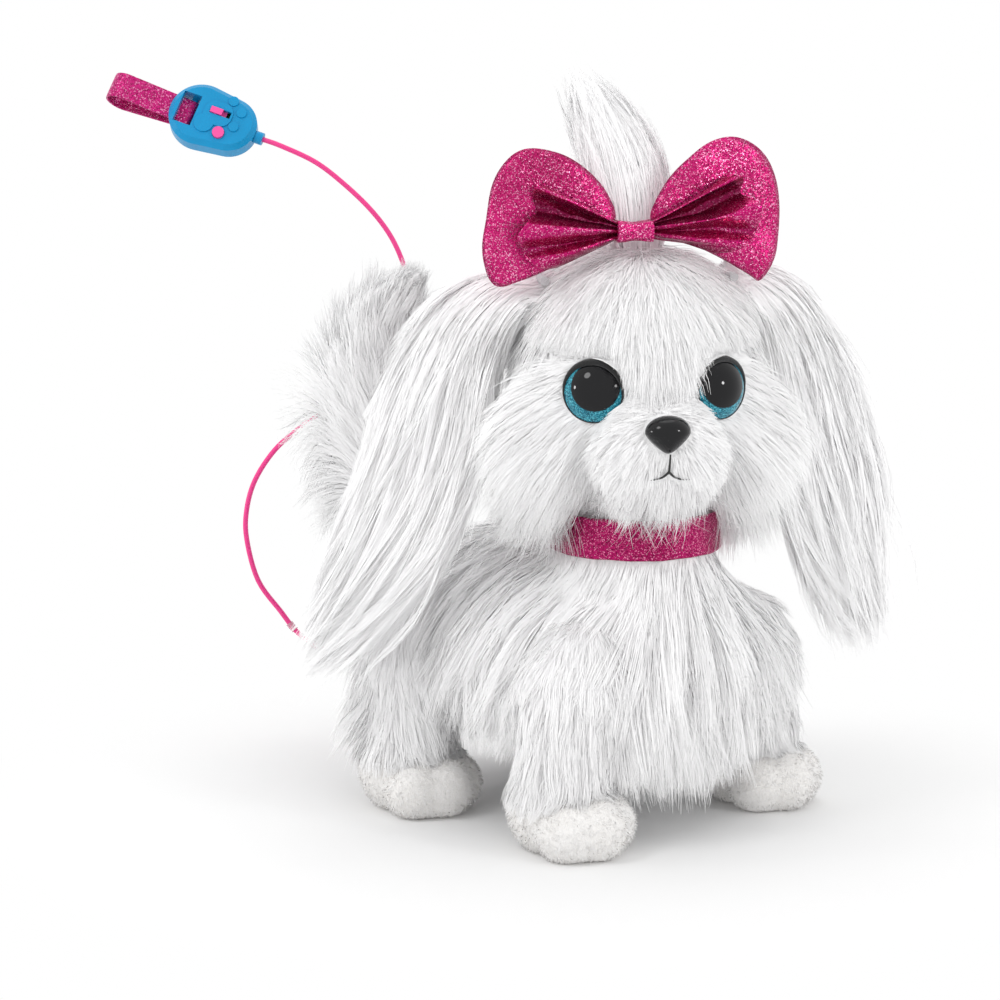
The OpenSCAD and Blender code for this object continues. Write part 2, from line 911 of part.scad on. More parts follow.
// Points up the middle of the tail's plume, from its root, with the plume's half width at each
tail_path = [[0, 90, hip_z + 37], [0, 106, hip_z + 44], [0, 128, hip_z + 62], [0, 142, hip_z + 90],
    [0, 146, hip_z + 116], [0, 138, hip_z + 139], [0, 123, hip_z + 158]];
tail_width = [8, 16, 32, 36, 30, 18, 3];
tail_steps = 3;

module tail_plush() {
    middle = smooth_path(tail_path, tail_steps);
    width = smooth_path(tail_width, tail_steps);
    last = len(middle) - 1;
    color("white")
        difference() {
            loft([
                for (i = [0 : last])
                    let (run = unit(middle[min(i + 1, last)] - middle[max(i - 1, 0)]))
                        oval(middle[i], [width[i], 0, 0], width[i] * cross([1, 0, 0], run), 18)
            ]);
            tail_rod(tail_rod_r);
        }
}

// Neck and head

module neck_post() {
    color("slategray") {
        z_rod(0, neck_y, chassis_top - wall - 3.5, frame_top + 3, post_r);
        z_rod(0, neck_y, chassis_top - wall - 3.5, chassis_top - wall, post_flange_r);
        z_rod(0, neck_y, chassis_top, chassis_top + 2, post_flange_r);
        z_rod(0, neck_y, frame_z - 4, frame_z, post_flange_r);
    }
}

module neck_cap() {
    color("dimgray")
        difference() {
            z_rod(0, neck_y, frame_top + 0.2, frame_top + 5, post_r + 3);
            z_rod(0, neck_y, frame_top - 1, frame_top + 3, post_r);
        }
}

module head_frame() {
    color("lightsteelblue")
        on_head()
            difference() {
                union() {
                    z_rod(0, 0, frame_z, frame_z + frame_disc_t, frame_disc_r);
                    z_rod(0, 0, frame_z, frame_top, frame_tube_r);
                }
                z_rod(0, 0, frame_z - 1, frame_top + 1, post_r + running_fit);
            }
}

// Skull, cheeks, muzzle and throat, grown by a gap
module head_form(gap) {
    translate([0, 0, skull_z])
        sphere(r = skull_r + gap);
    for (side = [-1, 1])
        translate([side * cheek_at.x, cheek_at.y, cheek_at.z])
            sphere(r = cheek_r + gap);
    translate(muzzle_at)
        sphere(r = muzzle_r + gap);
    z_rod(0, 0, neck_top + 1.5 - gap, skull_z, throat_r + gap);
}

// Puts a piece at an eye: local +Z looks out of the face
module on_eye(side) {
    translate([side * eye_at.x, eye_at.y, eye_at.z])
        rotate([0, 0, side * eye_out])
            rotate([90 - eye_up, 0, 0])
                children();
}

module on_nose() {
    translate(nose_at)
        rotate([90, 0, 0])
            children();
}

module stem() {
    translate([0, 0, -stem_l])
        cylinder(r = stem_r, h = stem_l + 1);
}

module washer() {
    translate([0, 0, -washer_back - washer_t])
        cylinder(r = washer_r, h = washer_t);
}

module head_plush() {
    color("white")
        on_head()
            difference() {
                head_form(0);
                z_rod(0, 0, 0, frame_z + frame_disc_t, frame_disc_r + 0.2);
                z_rod(0, 0, frame_z, frame_top + 7, frame_tube_r + 0.2);
                for (side = [-1, 1])
                    on_eye(side) {
                        cylinder(r = eye_d / 2 + seat_gap, h = skull_r);
                        stem();
                        washer();
                    }
                on_nose() {
                    cylinder(r = nose_seat_r, h = skull_r);
                    stem();
                    washer();
                }
                for (side = [-1, 1])
                    ear_wire(side, 1, running_fit);
            }
}

// A domed eye on its stem
module eye(side) {
    color("black")
        on_head()
            on_eye(side) {
                intersection() {
                    translate([0, 0, -eye_base])
                        sphere(r = eye_dome_r);
                    cylinder(r = eye_d, h = eye_dome_r);
                }
                stem();
            }
}

// The wire that an ear is sewn to and lifts about, half in a groove of the head
module ear_wire(side, more, gap) {
    y_rod(side * ear_wire_at.x, ear_wire_at.y - ear_wire_l / 2 - more, ear_wire_at.y + ear_wire_l / 2 + more,
        ear_wire_at.z, ear_wire_r + gap);
}

// Washers behind the eyes and the nose, and the wires of the ears
module face_washers() {
    color("gainsboro")
        on_head() {
            for (side = [-1, 1])
                ear_wire(side, 0, 0);
            for (side = [-1, 1])
                on_eye(side)
                    difference() {
                        washer();
                        stem();
                    }
            on_nose()
                difference() {
                    washer();
                    stem();
                }
        }
}

// A rounded triangle with its point down, flat at the back
module nose() {
    color("black")
        on_head()
            on_nose() {
                intersection() {
                    hull() {
                        for (side = [-1, 1])
                            translate([side * nose_w * 0.25, nose_w * 0.14, 0])
                                sphere(r = nose_w * 0.25, $fn = 32);
                        translate([0, -nose_w * 0.22, 0])
                            sphere(r = nose_w * 0.2, $fn = 32);
                        translate([0, nose_w * 0.05, nose_w * 0.2])
                            sphere(r = nose_w * 0.22, $fn = 32);
                    }
                    cylinder(r = nose_w, h = nose_w);
                }
                stem();
            }
}

// A stitch laid on the muzzle, between two angles up from the way the nose points, rolled about that way
module muzzle_arc(from_angle, to_angle, roll) {
    translate(muzzle_at)
        rotate([0, roll, 0])
            rotate([0, 90, 0])
                rotate([0, 0, -90 - to_angle])
                    rotate_extrude(angle = to_angle - from_angle)
                        translate([muzzle_r + thread_r, 0])
                            circle(r = thread_r, $fn = 16);
}

module mouth_stitch() {
    color("black")
        on_head() {
            muzzle_arc(mouth_part - mouth_low, -mouth_high, 0);
            for (side = [-1, 1])
                translate(muzzle_at)
                    rotate([mouth_low, 0, 0])
                        translate(-muzzle_at)
                            muzzle_arc(mouth_part / 2, mouth_wide, side * mouth_sag);
        }
}

// The outline of one bow wing, pinched to the knot
module wing_outline(grow) {
    hull() {
        translate([bow_w / 2 - 23, 13])
            circle(r = 22 + grow, $fn = 48);
        translate([bow_w / 2 - 15, -13])
            circle(r = 13 + grow, $fn = 48);
        translate([6, 0])
            circle(r = 5 + grow, $fn = 48);
    }
}

module bow_half(side) {
    translate(bow_at)
        mirror([side < 0 ? 1 : 0, 0, 0])
            rotate([90, 0, 0])
                children();
}

module bow_wings() {
    color("mediumvioletred")
        on_head()
            difference() {
                for (side = [-1, 1])
                    bow_half(side)
                        linear_extrude(bow_t)
                            intersection() {
                                wing_outline(0);
                                translate([bow_w / 2, 0])
                                    square(bow_w, center = true);
                            }
                head_form(seat_gap);
            }
}

// Puffed inner loops in front of the wings
module bow_loops() {
    color("deeppink")
        on_head()
            difference() {
                for (side = [-1, 1])
                    bow_half(side)
                        intersection() {
                            hull() {
                                translate([bow_w / 2 - 24, 5, bow_t])
                                    sphere(r = loop_depth * 0.9, $fn = 32);
                                translate([bow_w / 2 - 20, -6, bow_t])
                                    sphere(r = loop_depth * 0.7, $fn = 32);
                                translate([7, 0, bow_t])
                                    sphere(r = 4.5, $fn = 32);
                            }
                            translate([0, -bow_w / 2, bow_t])
                                cube([bow_w, bow_w, bow_w]);
                        }
                head_form(seat_gap);
                knot_form();
            }
}

module knot_form() {
    translate(bow_at)
        rotate([90, 0, 0])
            translate([0, 0, -1])
                linear_extrude(bow_t + 8)
                    rounded_rect(15, 11, 4);
}

module bow_knot() {
    color("mediumvioletred")
        on_head()
            difference() {
                knot_form();
                head_form(seat_gap);
                for (side = [-1, 1])
                    bow_half(side)
                        linear_extrude(bow_t)
                            wing_outline(0);
            }
}

// A tuft behind the bow that leans back and to the puppy's right
module topknot() {
    base = [-1, 7, skull_z + skull_r - 10];
    lean = [-22, 15, topknot_h + 10];
    share = [0.7, 0.85, 0.97, 1, 0.94, 0.8, 0.58, 0.08];
    width = 20;
    last = len(share) - 1;
    color("white")
        on_head()
            difference() {
                loft([
                    for (i = [0 : last])
                        let (t = i / last, c = base + [lean.x * pow(t, 3), lean.y * t, lean.z * t])
                            oval(c, [0, width * share[i] * 0.85, 0], [width * share[i], 0, 0], 18)
                ]);
                head_form(seat_gap);
            }
}

// Ears

function ear_out(t, stand, flare, bend) = stand * (1 - pow(1 - t, 5)) + flare * pow(t, bend);
function ear_point(t, stand, flare, bend, sweep) =
    ear_root + [ear_out(t, stand, flare, bend), sweep * pow(t, 1.5), -ear_drop * pow(t, 1.5)];
function ear_half(t) = ear_w / 2 * (0.62 + 0.38 * sin(180 * pow(t, 1.6))) * (1 - 0.6 * pow(t, 8));
function ear_thick(t) = ear_t / 2 * (1 - 0.5 * t);
ear_rings = 16;

// A flap that stands off the head and then hangs, built on the left side
module ear_form(stand, flare, bend, sweep, facing) {
    spread = [sin(facing), cos(facing), 0];
    loft([
        for (i = [0 : ear_rings])
            let (
                t = i / ear_rings,
                run = unit(ear_point(min(t + 0.02, 1.02), stand, flare, bend, sweep)
                    - ear_point(max(t - 0.02, 0), stand, flare, bend, sweep)),
                wide = unit(spread - (spread * run) * run),
                deep = cross(wide, run)
            )
            oval(ear_point(t, stand, flare, bend, sweep), ear_half(t) * wide, ear_thick(t) * deep, ear_sides)
    ]);
}

module ear(side, stand, flare, bend, sweep, facing) {
    color("white")
        on_head()
            difference() {
                mirror([side < 0 ? 1 : 0, 0, 0])
                    ear_form(stand, flare, bend, sweep, facing);
                head_form(skin_gap);
            }
}

module right_ear() {
    ear(side = -1, stand = 39, flare = 62, bend = 3.5, sweep = 8, facing = 55);
}

module left_ear() {
    ear(side = 1, stand = 29, flare = 38, bend = 2, sweep = 9, facing = 66);
}

// Leash and remote

module leash_gland() {
    color("dimgray")
        difference() {
            union() {
                y_rod(0, chassis_rear - wall - gland_flange_t, chassis_rear - wall, gland_z, gland_flange_r);
                y_rod(0, chassis_rear - wall, chassis_rear + gland_l, gland_z, gland_r);
            }
            y_rod(0, chassis_rear - 10, chassis_rear + gland_l + 1, gland_z, cord_d / 2 + cord_play);
        }
}

function turn_z(v, a) = [v.x * cos(a) - v.y * sin(a), v.x * sin(a) + v.y * cos(a), v.z];
function turn_x(v, a) = [v.x, v.y * cos(a) - v.z * sin(a), v.y * sin(a) + v.z * cos(a)];
remote_x = turn_z(turn_x(turn_z([1, 0, 0], remote_roll), remote_lean), remote_heading);
cord_route = concat(
    [for (p = route) p + [0, 0, hip_z - 78]],
    [for (d = [14, 4, -2]) remote_at + (remote_l / 2 + d) * remote_x]);

// A round cord along the smoothed route, its rings kept upright against a fixed side
module leash_cord() {
    path = smooth_path(cord_route, rings_per_span);
    last = len(path) - 1;
    color("hotpink")
        loft([
            for (i = [0 : last])
                let (
                    run = unit(path[min(i + 1, last)] - path[max(i - 1, 0)]),
                    side = unit(cross(run, [0.9, 0.3, 0.1])),
                    rise = cross(side, run)
                )
                oval(path[i], cord_d / 2 * rise, cord_d / 2 * side, cord_sides)
        ]);
}

module remote_outline(inset) {
    hull() {
        translate([-remote_l / 2 + remote_big, 0])
            circle(r = remote_big - inset);
        translate([remote_l / 2 - remote_small, 0])
            circle(r = remote_small - inset);
    }
}

// Half of the case, rounded at its outer edge, standing on Z = 0
module remote_dome() {
    hull() {
        linear_extrude(remote_h - remote_bevel)
            remote_outline(0);
        linear_extrude(remote_h)
            remote_outline(remote_bevel);
    }
}

module remote_hollow() {
    intersection() {
        translate([0, 0, -1])
            linear_extrude(remote_h - remote_wall + 1)
                remote_outline(remote_bevel);
        block([remote_inner, -remote_w, -2], [remote_l, remote_w, remote_h]);
    }
}

module window_hole() {
    block([window_x[0], -window_y, -remote_h - 1], [window_x[1], window_y, remote_h + 2]);
}

module cord_hole() {
    x_rod(remote_l / 2 - 8, remote_l / 2 + nozzle_l + 1, 0, 0, cord_d / 2 + cord_play);
}

module slot_hole() {
    block([slider_at.x - slider_size.x / 2 - 0.3, slider_at.y - slider_size.y / 2 - 0.2, 0],
        [slider_at.x + slider_size.x / 2 + slider_travel + 0.3, slider_at.y + slider_size.y / 2 + 0.2,
            remote_h + 3]);
}

pad_t = 0.7;

// Raised pad round the slider, and small toe bumps beside it
module remote_pads() {
    translate([0, 0, remote_h - 1])
        linear_extrude(1 + pad_t) {
            translate([slider_at.x + 1, slider_at.y - 1])
                rounded_rect(15, 13, 5.5);
            translate([slider_at.x - 4, slider_at.y - 8])
                circle(r = 5);
        }
    for (p = toe_bumps)
        z_rod(p.x, p.y, remote_h - 1, remote_h + pad_t, 2.6);
}

module remote_top() {
    color("deepskyblue")
        on_remote()
            difference() {
                union() {
                    difference() {
                        union() {
                            remote_dome();
                            remote_pads();
                        }
                        remote_hollow();
                    }
                    for (p = remote_screw_at)
                        z_rod(p.x, p.y, 0, remote_h - 1, remote_screw_r + 1.2);
                }
                window_hole();
                block([-remote_l, -window_y, -1], [window_x[1] - 1, window_y, rim_z]);
                cord_hole();
                slot_hole();
                z_rod(button_at.x, button_at.y, 0, remote_h + 3, button_r + 0.15);
                for (p = remote_screw_at)
                    z_rod(p.x, p.y, -1, remote_h - 2, remote_screw_r);
            }
}

board_z = 0.2;
remote_board_t = 1.2;

module remote_bottom() {
    color("dodgerblue")
        on_remote()
            difference() {
                union() {
                    difference() {
                        union() {
                            mirror([0, 0, 1])
                                remote_dome();
                            intersection() {
                                x_rod(remote_l / 2 - 4, remote_l / 2 + nozzle_l, 0, 0, nozzle_r);
                                union() {
                                    block([remote_l / 2 - 0.5, -nozzle_r, -nozzle_r],
                                        [remote_l, nozzle_r, 0]);
                                    block([remote_l / 2 + running_fit, -nozzle_r, -1],
                                        [remote_l, nozzle_r, nozzle_r]);
                                }
                            }
                        }
                        mirror([0, 0, 1])
                            remote_hollow();
                        window_hole();
                        block([-remote_l, -window_y, -remote_h - 1], [window_x[1] - 1, window_y, 1]);
                    }
                    y_rod(bar_at.x, -window_y - 1, window_y + 1, bar_at.y, bar_r);
                    for (p = [[-3, 5], [11, -4]])
                        z_rod(p.x, p.y, -remote_h + 1, board_z, 2);
                    for (p = remote_screw_at)
                        z_rod(p.x, p.y, -remote_h + 1, 0, remote_screw_r + 1.2);
                }
                cord_hole();
                for (p = remote_screw_at) {
                    z_rod(p.x, p.y, -remote_h - 1, 1, remote_screw_r + 0.15);
                    z_rod(p.x, p.y, -remote_h - 1, -remote_h + 1.5, 2 * remote_screw_r + 0.15);
                }
            }
}

module remote_board() {
    color("darkgreen")
        on_remote()
            block([-5, -6, board_z], [13, 8, board_z + remote_board_t]);
}

module remote_screws() {
    color("silver")
        on_remote()
            for (p = remote_screw_at) {
                z_rod(p.x, p.y, -remote_h + 0.5, -remote_h + 1.5, 2 * remote_screw_r);
                z_rod(p.x, p.y, -remote_h + 0.5, remote_h - 2.5, remote_screw_r);
            }
}

module strap_outline(grow) {
    hull() {
        translate(bar_at)
            circle(r = bar_r + 0.2 + grow);
        translate([bar_at.x - strap_l + strap_end_r, bar_at.y])
            circle(r = strap_end_r + grow);
    }
}

// A flat band looped round the bar in the remote's window
module wrist_strap() {
    color("mediumvioletred")
        on_remote()
            translate([0, strap_w / 2, 0])
                rotate([90, 0, 0])
                    linear_extrude(strap_w)
                        difference() {
                            strap_outline(strap_t);
                            strap_outline(0);
                        }
}

slide_plate_z = [remote_h - remote_wall - 1.3, remote_h - remote_wall - 0.1];

module power_slider() {
    color("hotpink")
        on_remote() {
            block([slider_at.x - slider_size.x / 2, slider_at.y - slider_size.y / 2, slide_plate_z[0]],
                [slider_at.x + slider_size.x / 2, slider_at.y + slider_size.y / 2,
                    remote_h + pad_t + slider_proud]);
            block([slider_at.x - 5, slider_at.y - 2.6, slide_plate_z[0]],
                [slider_at.x + 5, slider_at.y + 2.6, slide_plate_z[1]]);
        }
}

module walk_button() {
    color("hotpink")
        on_remote() {
            z_rod(button_at.x, button_at.y, slide_plate_z[0] - 0.5, remote_h + button_proud, button_r);
            z_rod(button_at.x, button_at.y, slide_plate_z[0] - 0.5, slide_plate_z[1], button_r + 0.9);
        }
}

placed() body_plush();
placed() collar();
placed() chassis_left();
placed() chassis_right();
placed() chassis_screws();
placed() battery_tray();
placed() batteries();
placed() battery_contacts();
placed() battery_door();
placed() motor();
placed() gearbox_frame();
placed() speaker();
placed() circuit_board();
placed() hip_axles();
placed() axle_clips();
placed() tail_bracket();
placed() neck_post();
placed() neck_cap();
placed() leash_gland();
placed() leash_cord();
placed() remote_top();
placed() remote_bottom();
placed() remote_board();
placed() remote_screws();
placed() wrist_strap();
placed() power_slider();
placed() walk_button();
placed() motor_pinion();
placed() idler_gear();
placed() crankshaft();
placed() main_gear();
placed() left_link();
placed() right_link();
placed() tail_lever();
placed() tail_plush();
placed() leg_frame(1, -1);  // front_left_leg_frame
placed() leg_frame(-1, -1);  // front_right_leg_frame
placed() leg_frame(1, 1);  // rear_left_leg_frame
placed() leg_frame(-1, 1);  // rear_right_leg_frame
placed() leg_plush(1, -1);  // front_left_leg_plush
placed() leg_plush(-1, -1);  // front_right_leg_plush
placed() leg_plush(1, 1);  // rear_left_leg_plush
placed() leg_plush(-1, 1);  // rear_right_leg_plush
placed() paw(1, -1);  // front_left_paw
placed() paw(-1, -1);  // front_right_paw
placed() paw(1, 1);  // rear_left_paw
placed() paw(-1, 1);  // rear_right_paw
placed() head_frame();
placed() head_plush();
placed() eye(-1);  // right_eye
placed() eye(1);  // left_eye
placed() face_washers();
placed() nose();
placed() mouth_stitch();
placed() bow_wings();
placed() bow_loops();
placed() bow_knot();
placed() topknot();
placed() right_ear();
placed() left_ear();
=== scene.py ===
"""The looks of a plush walking puppy on a wired leash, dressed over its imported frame."""

import json
import math

import bmesh
import bpy
import numpy as np
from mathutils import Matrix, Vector
from mathutils.kdtree import KDTree


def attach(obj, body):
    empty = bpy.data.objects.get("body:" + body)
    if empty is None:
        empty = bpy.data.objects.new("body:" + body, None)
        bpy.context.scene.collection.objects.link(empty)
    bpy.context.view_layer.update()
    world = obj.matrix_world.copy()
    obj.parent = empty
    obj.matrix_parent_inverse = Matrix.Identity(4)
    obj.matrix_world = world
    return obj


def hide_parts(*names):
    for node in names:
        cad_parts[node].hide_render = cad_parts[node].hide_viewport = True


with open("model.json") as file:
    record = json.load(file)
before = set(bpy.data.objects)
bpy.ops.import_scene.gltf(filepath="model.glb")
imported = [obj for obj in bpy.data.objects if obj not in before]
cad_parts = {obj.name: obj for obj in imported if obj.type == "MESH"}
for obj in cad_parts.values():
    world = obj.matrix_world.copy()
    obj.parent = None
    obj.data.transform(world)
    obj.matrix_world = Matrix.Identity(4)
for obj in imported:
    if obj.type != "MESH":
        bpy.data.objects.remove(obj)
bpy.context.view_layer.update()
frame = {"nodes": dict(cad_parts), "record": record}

# Sizes are in millimetres in the puppy's own frame, which stands under its middle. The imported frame
# has its origin at the middle of the whole footprint, SHIFT away.
SHIFT = np.array([-2.2, 98.6, 0.0])
NECK = np.array([0.0, -34.0, 0.0])
HEAD_TURN = math.radians(-33)
SKULL_Z = 215.0
WHEELBASE, PAW_X = 102.0, 63.0
DOWN = np.array([0.0, 0.0, -1.0])
LEGS = {"front_left": (1, -1), "front_right": (-1, -1), "rear_left": (1, 1), "rear_right": (-1, 1)}
STRAND_LIMIT = 90000
STRAND_W = 0.39


def metres(p):
    return (np.asarray(p, float) - SHIFT) / 1000


def unit(v):
    return v / np.maximum(np.linalg.norm(v, axis=-1, keepdims=True), 1e-9)


def turned(p, angle):
    c, s = math.cos(angle), math.sin(angle)
    p = np.asarray(p, float)
    return np.stack([c * p[..., 0] - s * p[..., 1], s * p[..., 0] + c * p[..., 1], p[..., 2]], -1)


def from_head(p):
    return turned(p, HEAD_TURN) + NECK


def from_leg(side, end):
    def place(p):
        p = np.array(p, float)
        p[..., 0] *= side
        p[..., 1] += end * WHEELBASE / 2
        return p

    return place


def rise(x, low, high):
    t = np.clip((x - low) / (high - low), 0, 1)
    return t * t * (3 - 2 * t)


def smooth_path(points, steps):
    """A curve through the points, with steps to each span."""
    p = np.asarray(points, float)
    last = len(p) - 1
    made = []
    for i in range(last):
        a, b, c, d = p[max(i - 1, 0)], p[i], p[i + 1], p[min(i + 2, last)]
        square, cube = 2 * a - 5 * b + 4 * c - d, 3 * b - a - 3 * c + d
        for t in np.arange(steps) / steps:
            made.append(b + 0.5 * t * ((c - a) + t * (square + t * cube)))
    made.append(p[last])
    return np.array(made)


def smooth_loop(points, steps):
    p = [tuple(q) for q in points]
    around = smooth_path([p[-1], *p, p[0], p[1]], steps)
    return around[steps : steps * (len(p) + 1)]


def placed(name, data):
    made = bpy.data.objects.new(name, data)
    bpy.context.scene.collection.objects.link(made)
    return made


# Camera, at the photograph's angle

VIEW = np.array([0.6758, 0.7146, -0.1805])
camera = placed("camera", bpy.data.cameras.new("camera"))
camera.data.lens = 128.5
camera.data.sensor_width = 36
camera.location = metres((-1159.3, -1169.2, 448.1))
camera.rotation_euler = Vector(VIEW).to_track_quat("-Z", "Y").to_euler()
bpy.context.scene.camera = camera
bpy.context.scene.view_settings.view_transform = "Standard"
bpy.context.scene.cycles.max_bounces = 20
bpy.context.scene.cycles.diffuse_bounces = 20

# Materials


def shader_of(name, colour, roughness, values=()):
    mat = bpy.data.materials.new(name)
    mat.use_nodes = True
    shader = mat.node_tree.nodes["Principled BSDF"]
    shader.inputs["Base Color"].default_value = (*colour, 1)
    shader.inputs["Roughness"].default_value = roughness
    for key, value in dict(values).items():
        shader.inputs[key].default_value = value
    return mat, shader


def add(mat, kind, inputs=(), **props):
    made = mat.node_tree.nodes.new(kind)
    for key, value in props.items():
        setattr(made, key, value)
    for key, value in dict(inputs).items():
        if hasattr(value, "is_linked"):
            mat.node_tree.links.new(value, made.inputs[key])
        else:
            made.inputs[key].default_value = value
    return made


def join(mat, output, socket):
    mat.node_tree.links.new(output, socket)


def ramp(mat, value, stops):
    made = add(mat, "ShaderNodeValToRGB", {"Fac": value})
    elements = made.color_ramp.elements
    while len(elements) < len(stops):
        elements.new(0.5)
    for element, (place, colour) in zip(elements, stops):
        element.position = place
        element.color = (*colour, 1)
    return made.outputs["Color"]


def object_place(mat):
    return add(mat, "ShaderNodeTexCoord").outputs["Object"]


def noise(mat, scale, detail=3.0):
    return add(
        mat, "ShaderNodeTexNoise", {"Vector": object_place(mat), "Scale": scale, "Detail": detail},
    ).outputs["Fac"]


def bump(mat, shader, height, strength, distance):
    made = add(mat, "ShaderNodeBump", {"Height": height, "Strength": strength, "Distance": distance})
    join(mat, made.outputs["Normal"], shader.inputs["Normal"])


def paint(mat, shader, colour):
    join(mat, colour, shader.inputs["Base Color"])


def maths(mat, operation, first, second, clamp=False):
    inputs = {0: first, 1: second}
    return add(mat, "ShaderNodeMath", inputs, operation=operation, use_clamp=clamp).outputs[0]


def shaded(mat, shader, value, colour, share, low, high):
    """Paints a colour that goes down to a share of itself where the value is low."""
    darker = tuple(share * c for c in colour)
    paint(mat, shader, ramp(mat, value, [(low, darker), (high, colour)]))


def vector_math(mat, operation, inputs):
    return add(mat, "ShaderNodeVectorMath", inputs, operation=operation).outputs


def multiplied(mat, colour, shade):
    inputs = {0: 1.0, 6: colour, 7: shade}
    made = add(mat, "ShaderNodeMix", inputs, data_type="RGBA", blend_type="MULTIPLY")
    return made.outputs[2]


def flakes(mat, size):
    """Cells of one size in millimetres, each with a random colour of its own."""
    inputs = {"Vector": object_place(mat), "Scale": 1000 / size}
    return add(mat, "ShaderNodeTexVoronoi", inputs).outputs["Color"]


def fur_material(name, root, middle, tip):
    """Colour from the strand's own map: across it is the strand's tint, along it a painted shade, darker
    at the root and lighter to the tip.
    """
    mat, shader = shader_of(name, middle, 0.5, {"Sheen Weight": 0.15, "Specular IOR Level": 0.35})
    place = add(
        mat, "ShaderNodeSeparateXYZ",
        {"Vector": add(mat, "ShaderNodeUVMap", uv_map="OFBake").outputs["UV"]},
    )
    # painted shade: each strand is darker at its root than at its tip, as shade deep in the coat
    along = ramp(mat, place.outputs["Y"], [(0, root), (0.4, middle), (1, tip)])
    tint = add(
        mat, "ShaderNodeTexNoise", {"W": place.outputs["X"], "Scale": 40.0, "Detail": 0.0},
        noise_dimensions="1D",
    ).outputs["Fac"]
    shade = ramp(mat, tint, [(0.3, (0.985, 0.983, 0.986)), (0.7, (1, 1, 1))])
    paint(mat, shader, multiplied(mat, along, shade))
    return mat


def nap_material(name, low, high, grain):
    """Short pile or backing cloth under the coat."""
    mat, shader = shader_of(name, high, 0.85, {"Sheen Weight": 0.3})
    paint(mat, shader, ramp(mat, noise(mat, 60, 2), [(0.3, low), (0.7, high)]))
    bump(mat, shader, noise(mat, grain, 4), 0.6, 0.0008)
    return mat


def glitter_material(name, dark, middle, pale, flake, rough, metal, tilt, fold_shaded=False):
    """Flakes of one size, each with its own brightness and lean; with a painted shade deep in a fold."""
    mat, shader = shader_of(name, middle, rough, {"Metallic": metal})
    cells = flakes(mat, flake)
    red = add(mat, "ShaderNodeSeparateColor", {"Color": cells}).outputs["Red"]
    colour = ramp(mat, red, [(0.05, dark), (0.4, middle), (0.8, middle), (0.97, pale)])
    if fold_shaded:
        place = add(mat, "ShaderNodeUVMap", uv_map="fold").outputs["UV"]
        depth = add(mat, "ShaderNodeSeparateXYZ", {"Vector": place}).outputs["X"]
        # painted shade: the colour darkens where the fold's swell is low, deep in the pockets between
        # folds
        deep, half = (0.34, 0.24, 0.28), (0.75, 0.7, 0.7)
        shade = ramp(mat, depth, [(0.05, deep), (0.5, half), (1, (1, 1, 1))])
    else:
        shade = ramp(mat, noise(mat, 30, 1), [(0.35, (0.75, 0.65, 0.7)), (0.6, (1, 1, 1))])
    paint(mat, shader, multiplied(mat, colour, shade))
    lean = vector_math(mat, "SUBTRACT", {0: cells, 1: (0.5, 0.5, 0.5)})[0]
    lean = vector_math(mat, "SCALE", {0: lean, "Scale": tilt})[0]
    normal = add(mat, "ShaderNodeNewGeometry").outputs["Normal"]
    normal = vector_math(mat, "ADD", {0: normal, 1: lean})[0]
    join(mat, vector_math(mat, "NORMALIZE", {0: normal})[0], shader.inputs["Normal"])
    return mat


def moulded_material(name, colour, roughness, coat=0.0, grain=900.0, specular=0.5):
    """Moulded plastic with a slight unevenness in colour, gloss and surface."""
    values = {"Coat Weight": coat, "Coat Roughness": 0.08, "Specular IOR Level": specular}
    mat, shader = shader_of(name, colour, roughness, values)
    cloud = noise(mat, 45, 3)
    shaded(mat, shader, cloud, colour, 0.92, 0.35, 0.65)
    gloss = add(
        mat, "ShaderNodeMapRange",
        {"Value": cloud, "To Min": roughness * 0.85, "To Max": roughness * 1.2},
    )
    join(mat, gloss.outputs["Result"], shader.inputs["Roughness"])
    bump(mat, shader, noise(mat, grain, 2), 0.25, 0.00003)
    return mat


def metal_material(name, colour, roughness):
    mat, shader = shader_of(name, colour, roughness, {"Metallic": 1.0})
    shaded(mat, shader, noise(mat, 220, 5), colour, 0.75, 0.3, 0.7)
    bump(mat, shader, noise(mat, 1500, 3), 0.15, 0.00002)
    return mat


# Each coat's first colour is a painted shade at the strands' roots.
COAT = fur_material("long_coat", (0.972, 0.969, 0.972), (0.99, 0.988, 0.99), (1.0, 1.0, 1.0))
FUZZ = fur_material("short_coat", (0.86, 0.845, 0.83), (0.92, 0.91, 0.903), (0.95, 0.944, 0.938))
BACKING = nap_material("coat_backing", (0.965, 0.962, 0.965), (0.985, 0.983, 0.985), 900)
PAW_NAP = nap_material("paw_nap", (0.84, 0.822, 0.8), (0.9, 0.888, 0.875), 1400)
GLITTER = glitter_material(
    "bow_glitter", (0.22, 0.002, 0.055), (0.64, 0.013, 0.18), (1.0, 0.45, 0.68), 0.42, 0.34, 0.75, 0.5,
)
COLLAR = glitter_material(
    "collar_glitter", (0.13, 0.001, 0.035), (0.44, 0.008, 0.12), (0.9, 0.3, 0.5), 0.42, 0.3, 0.85, 0.4,
)
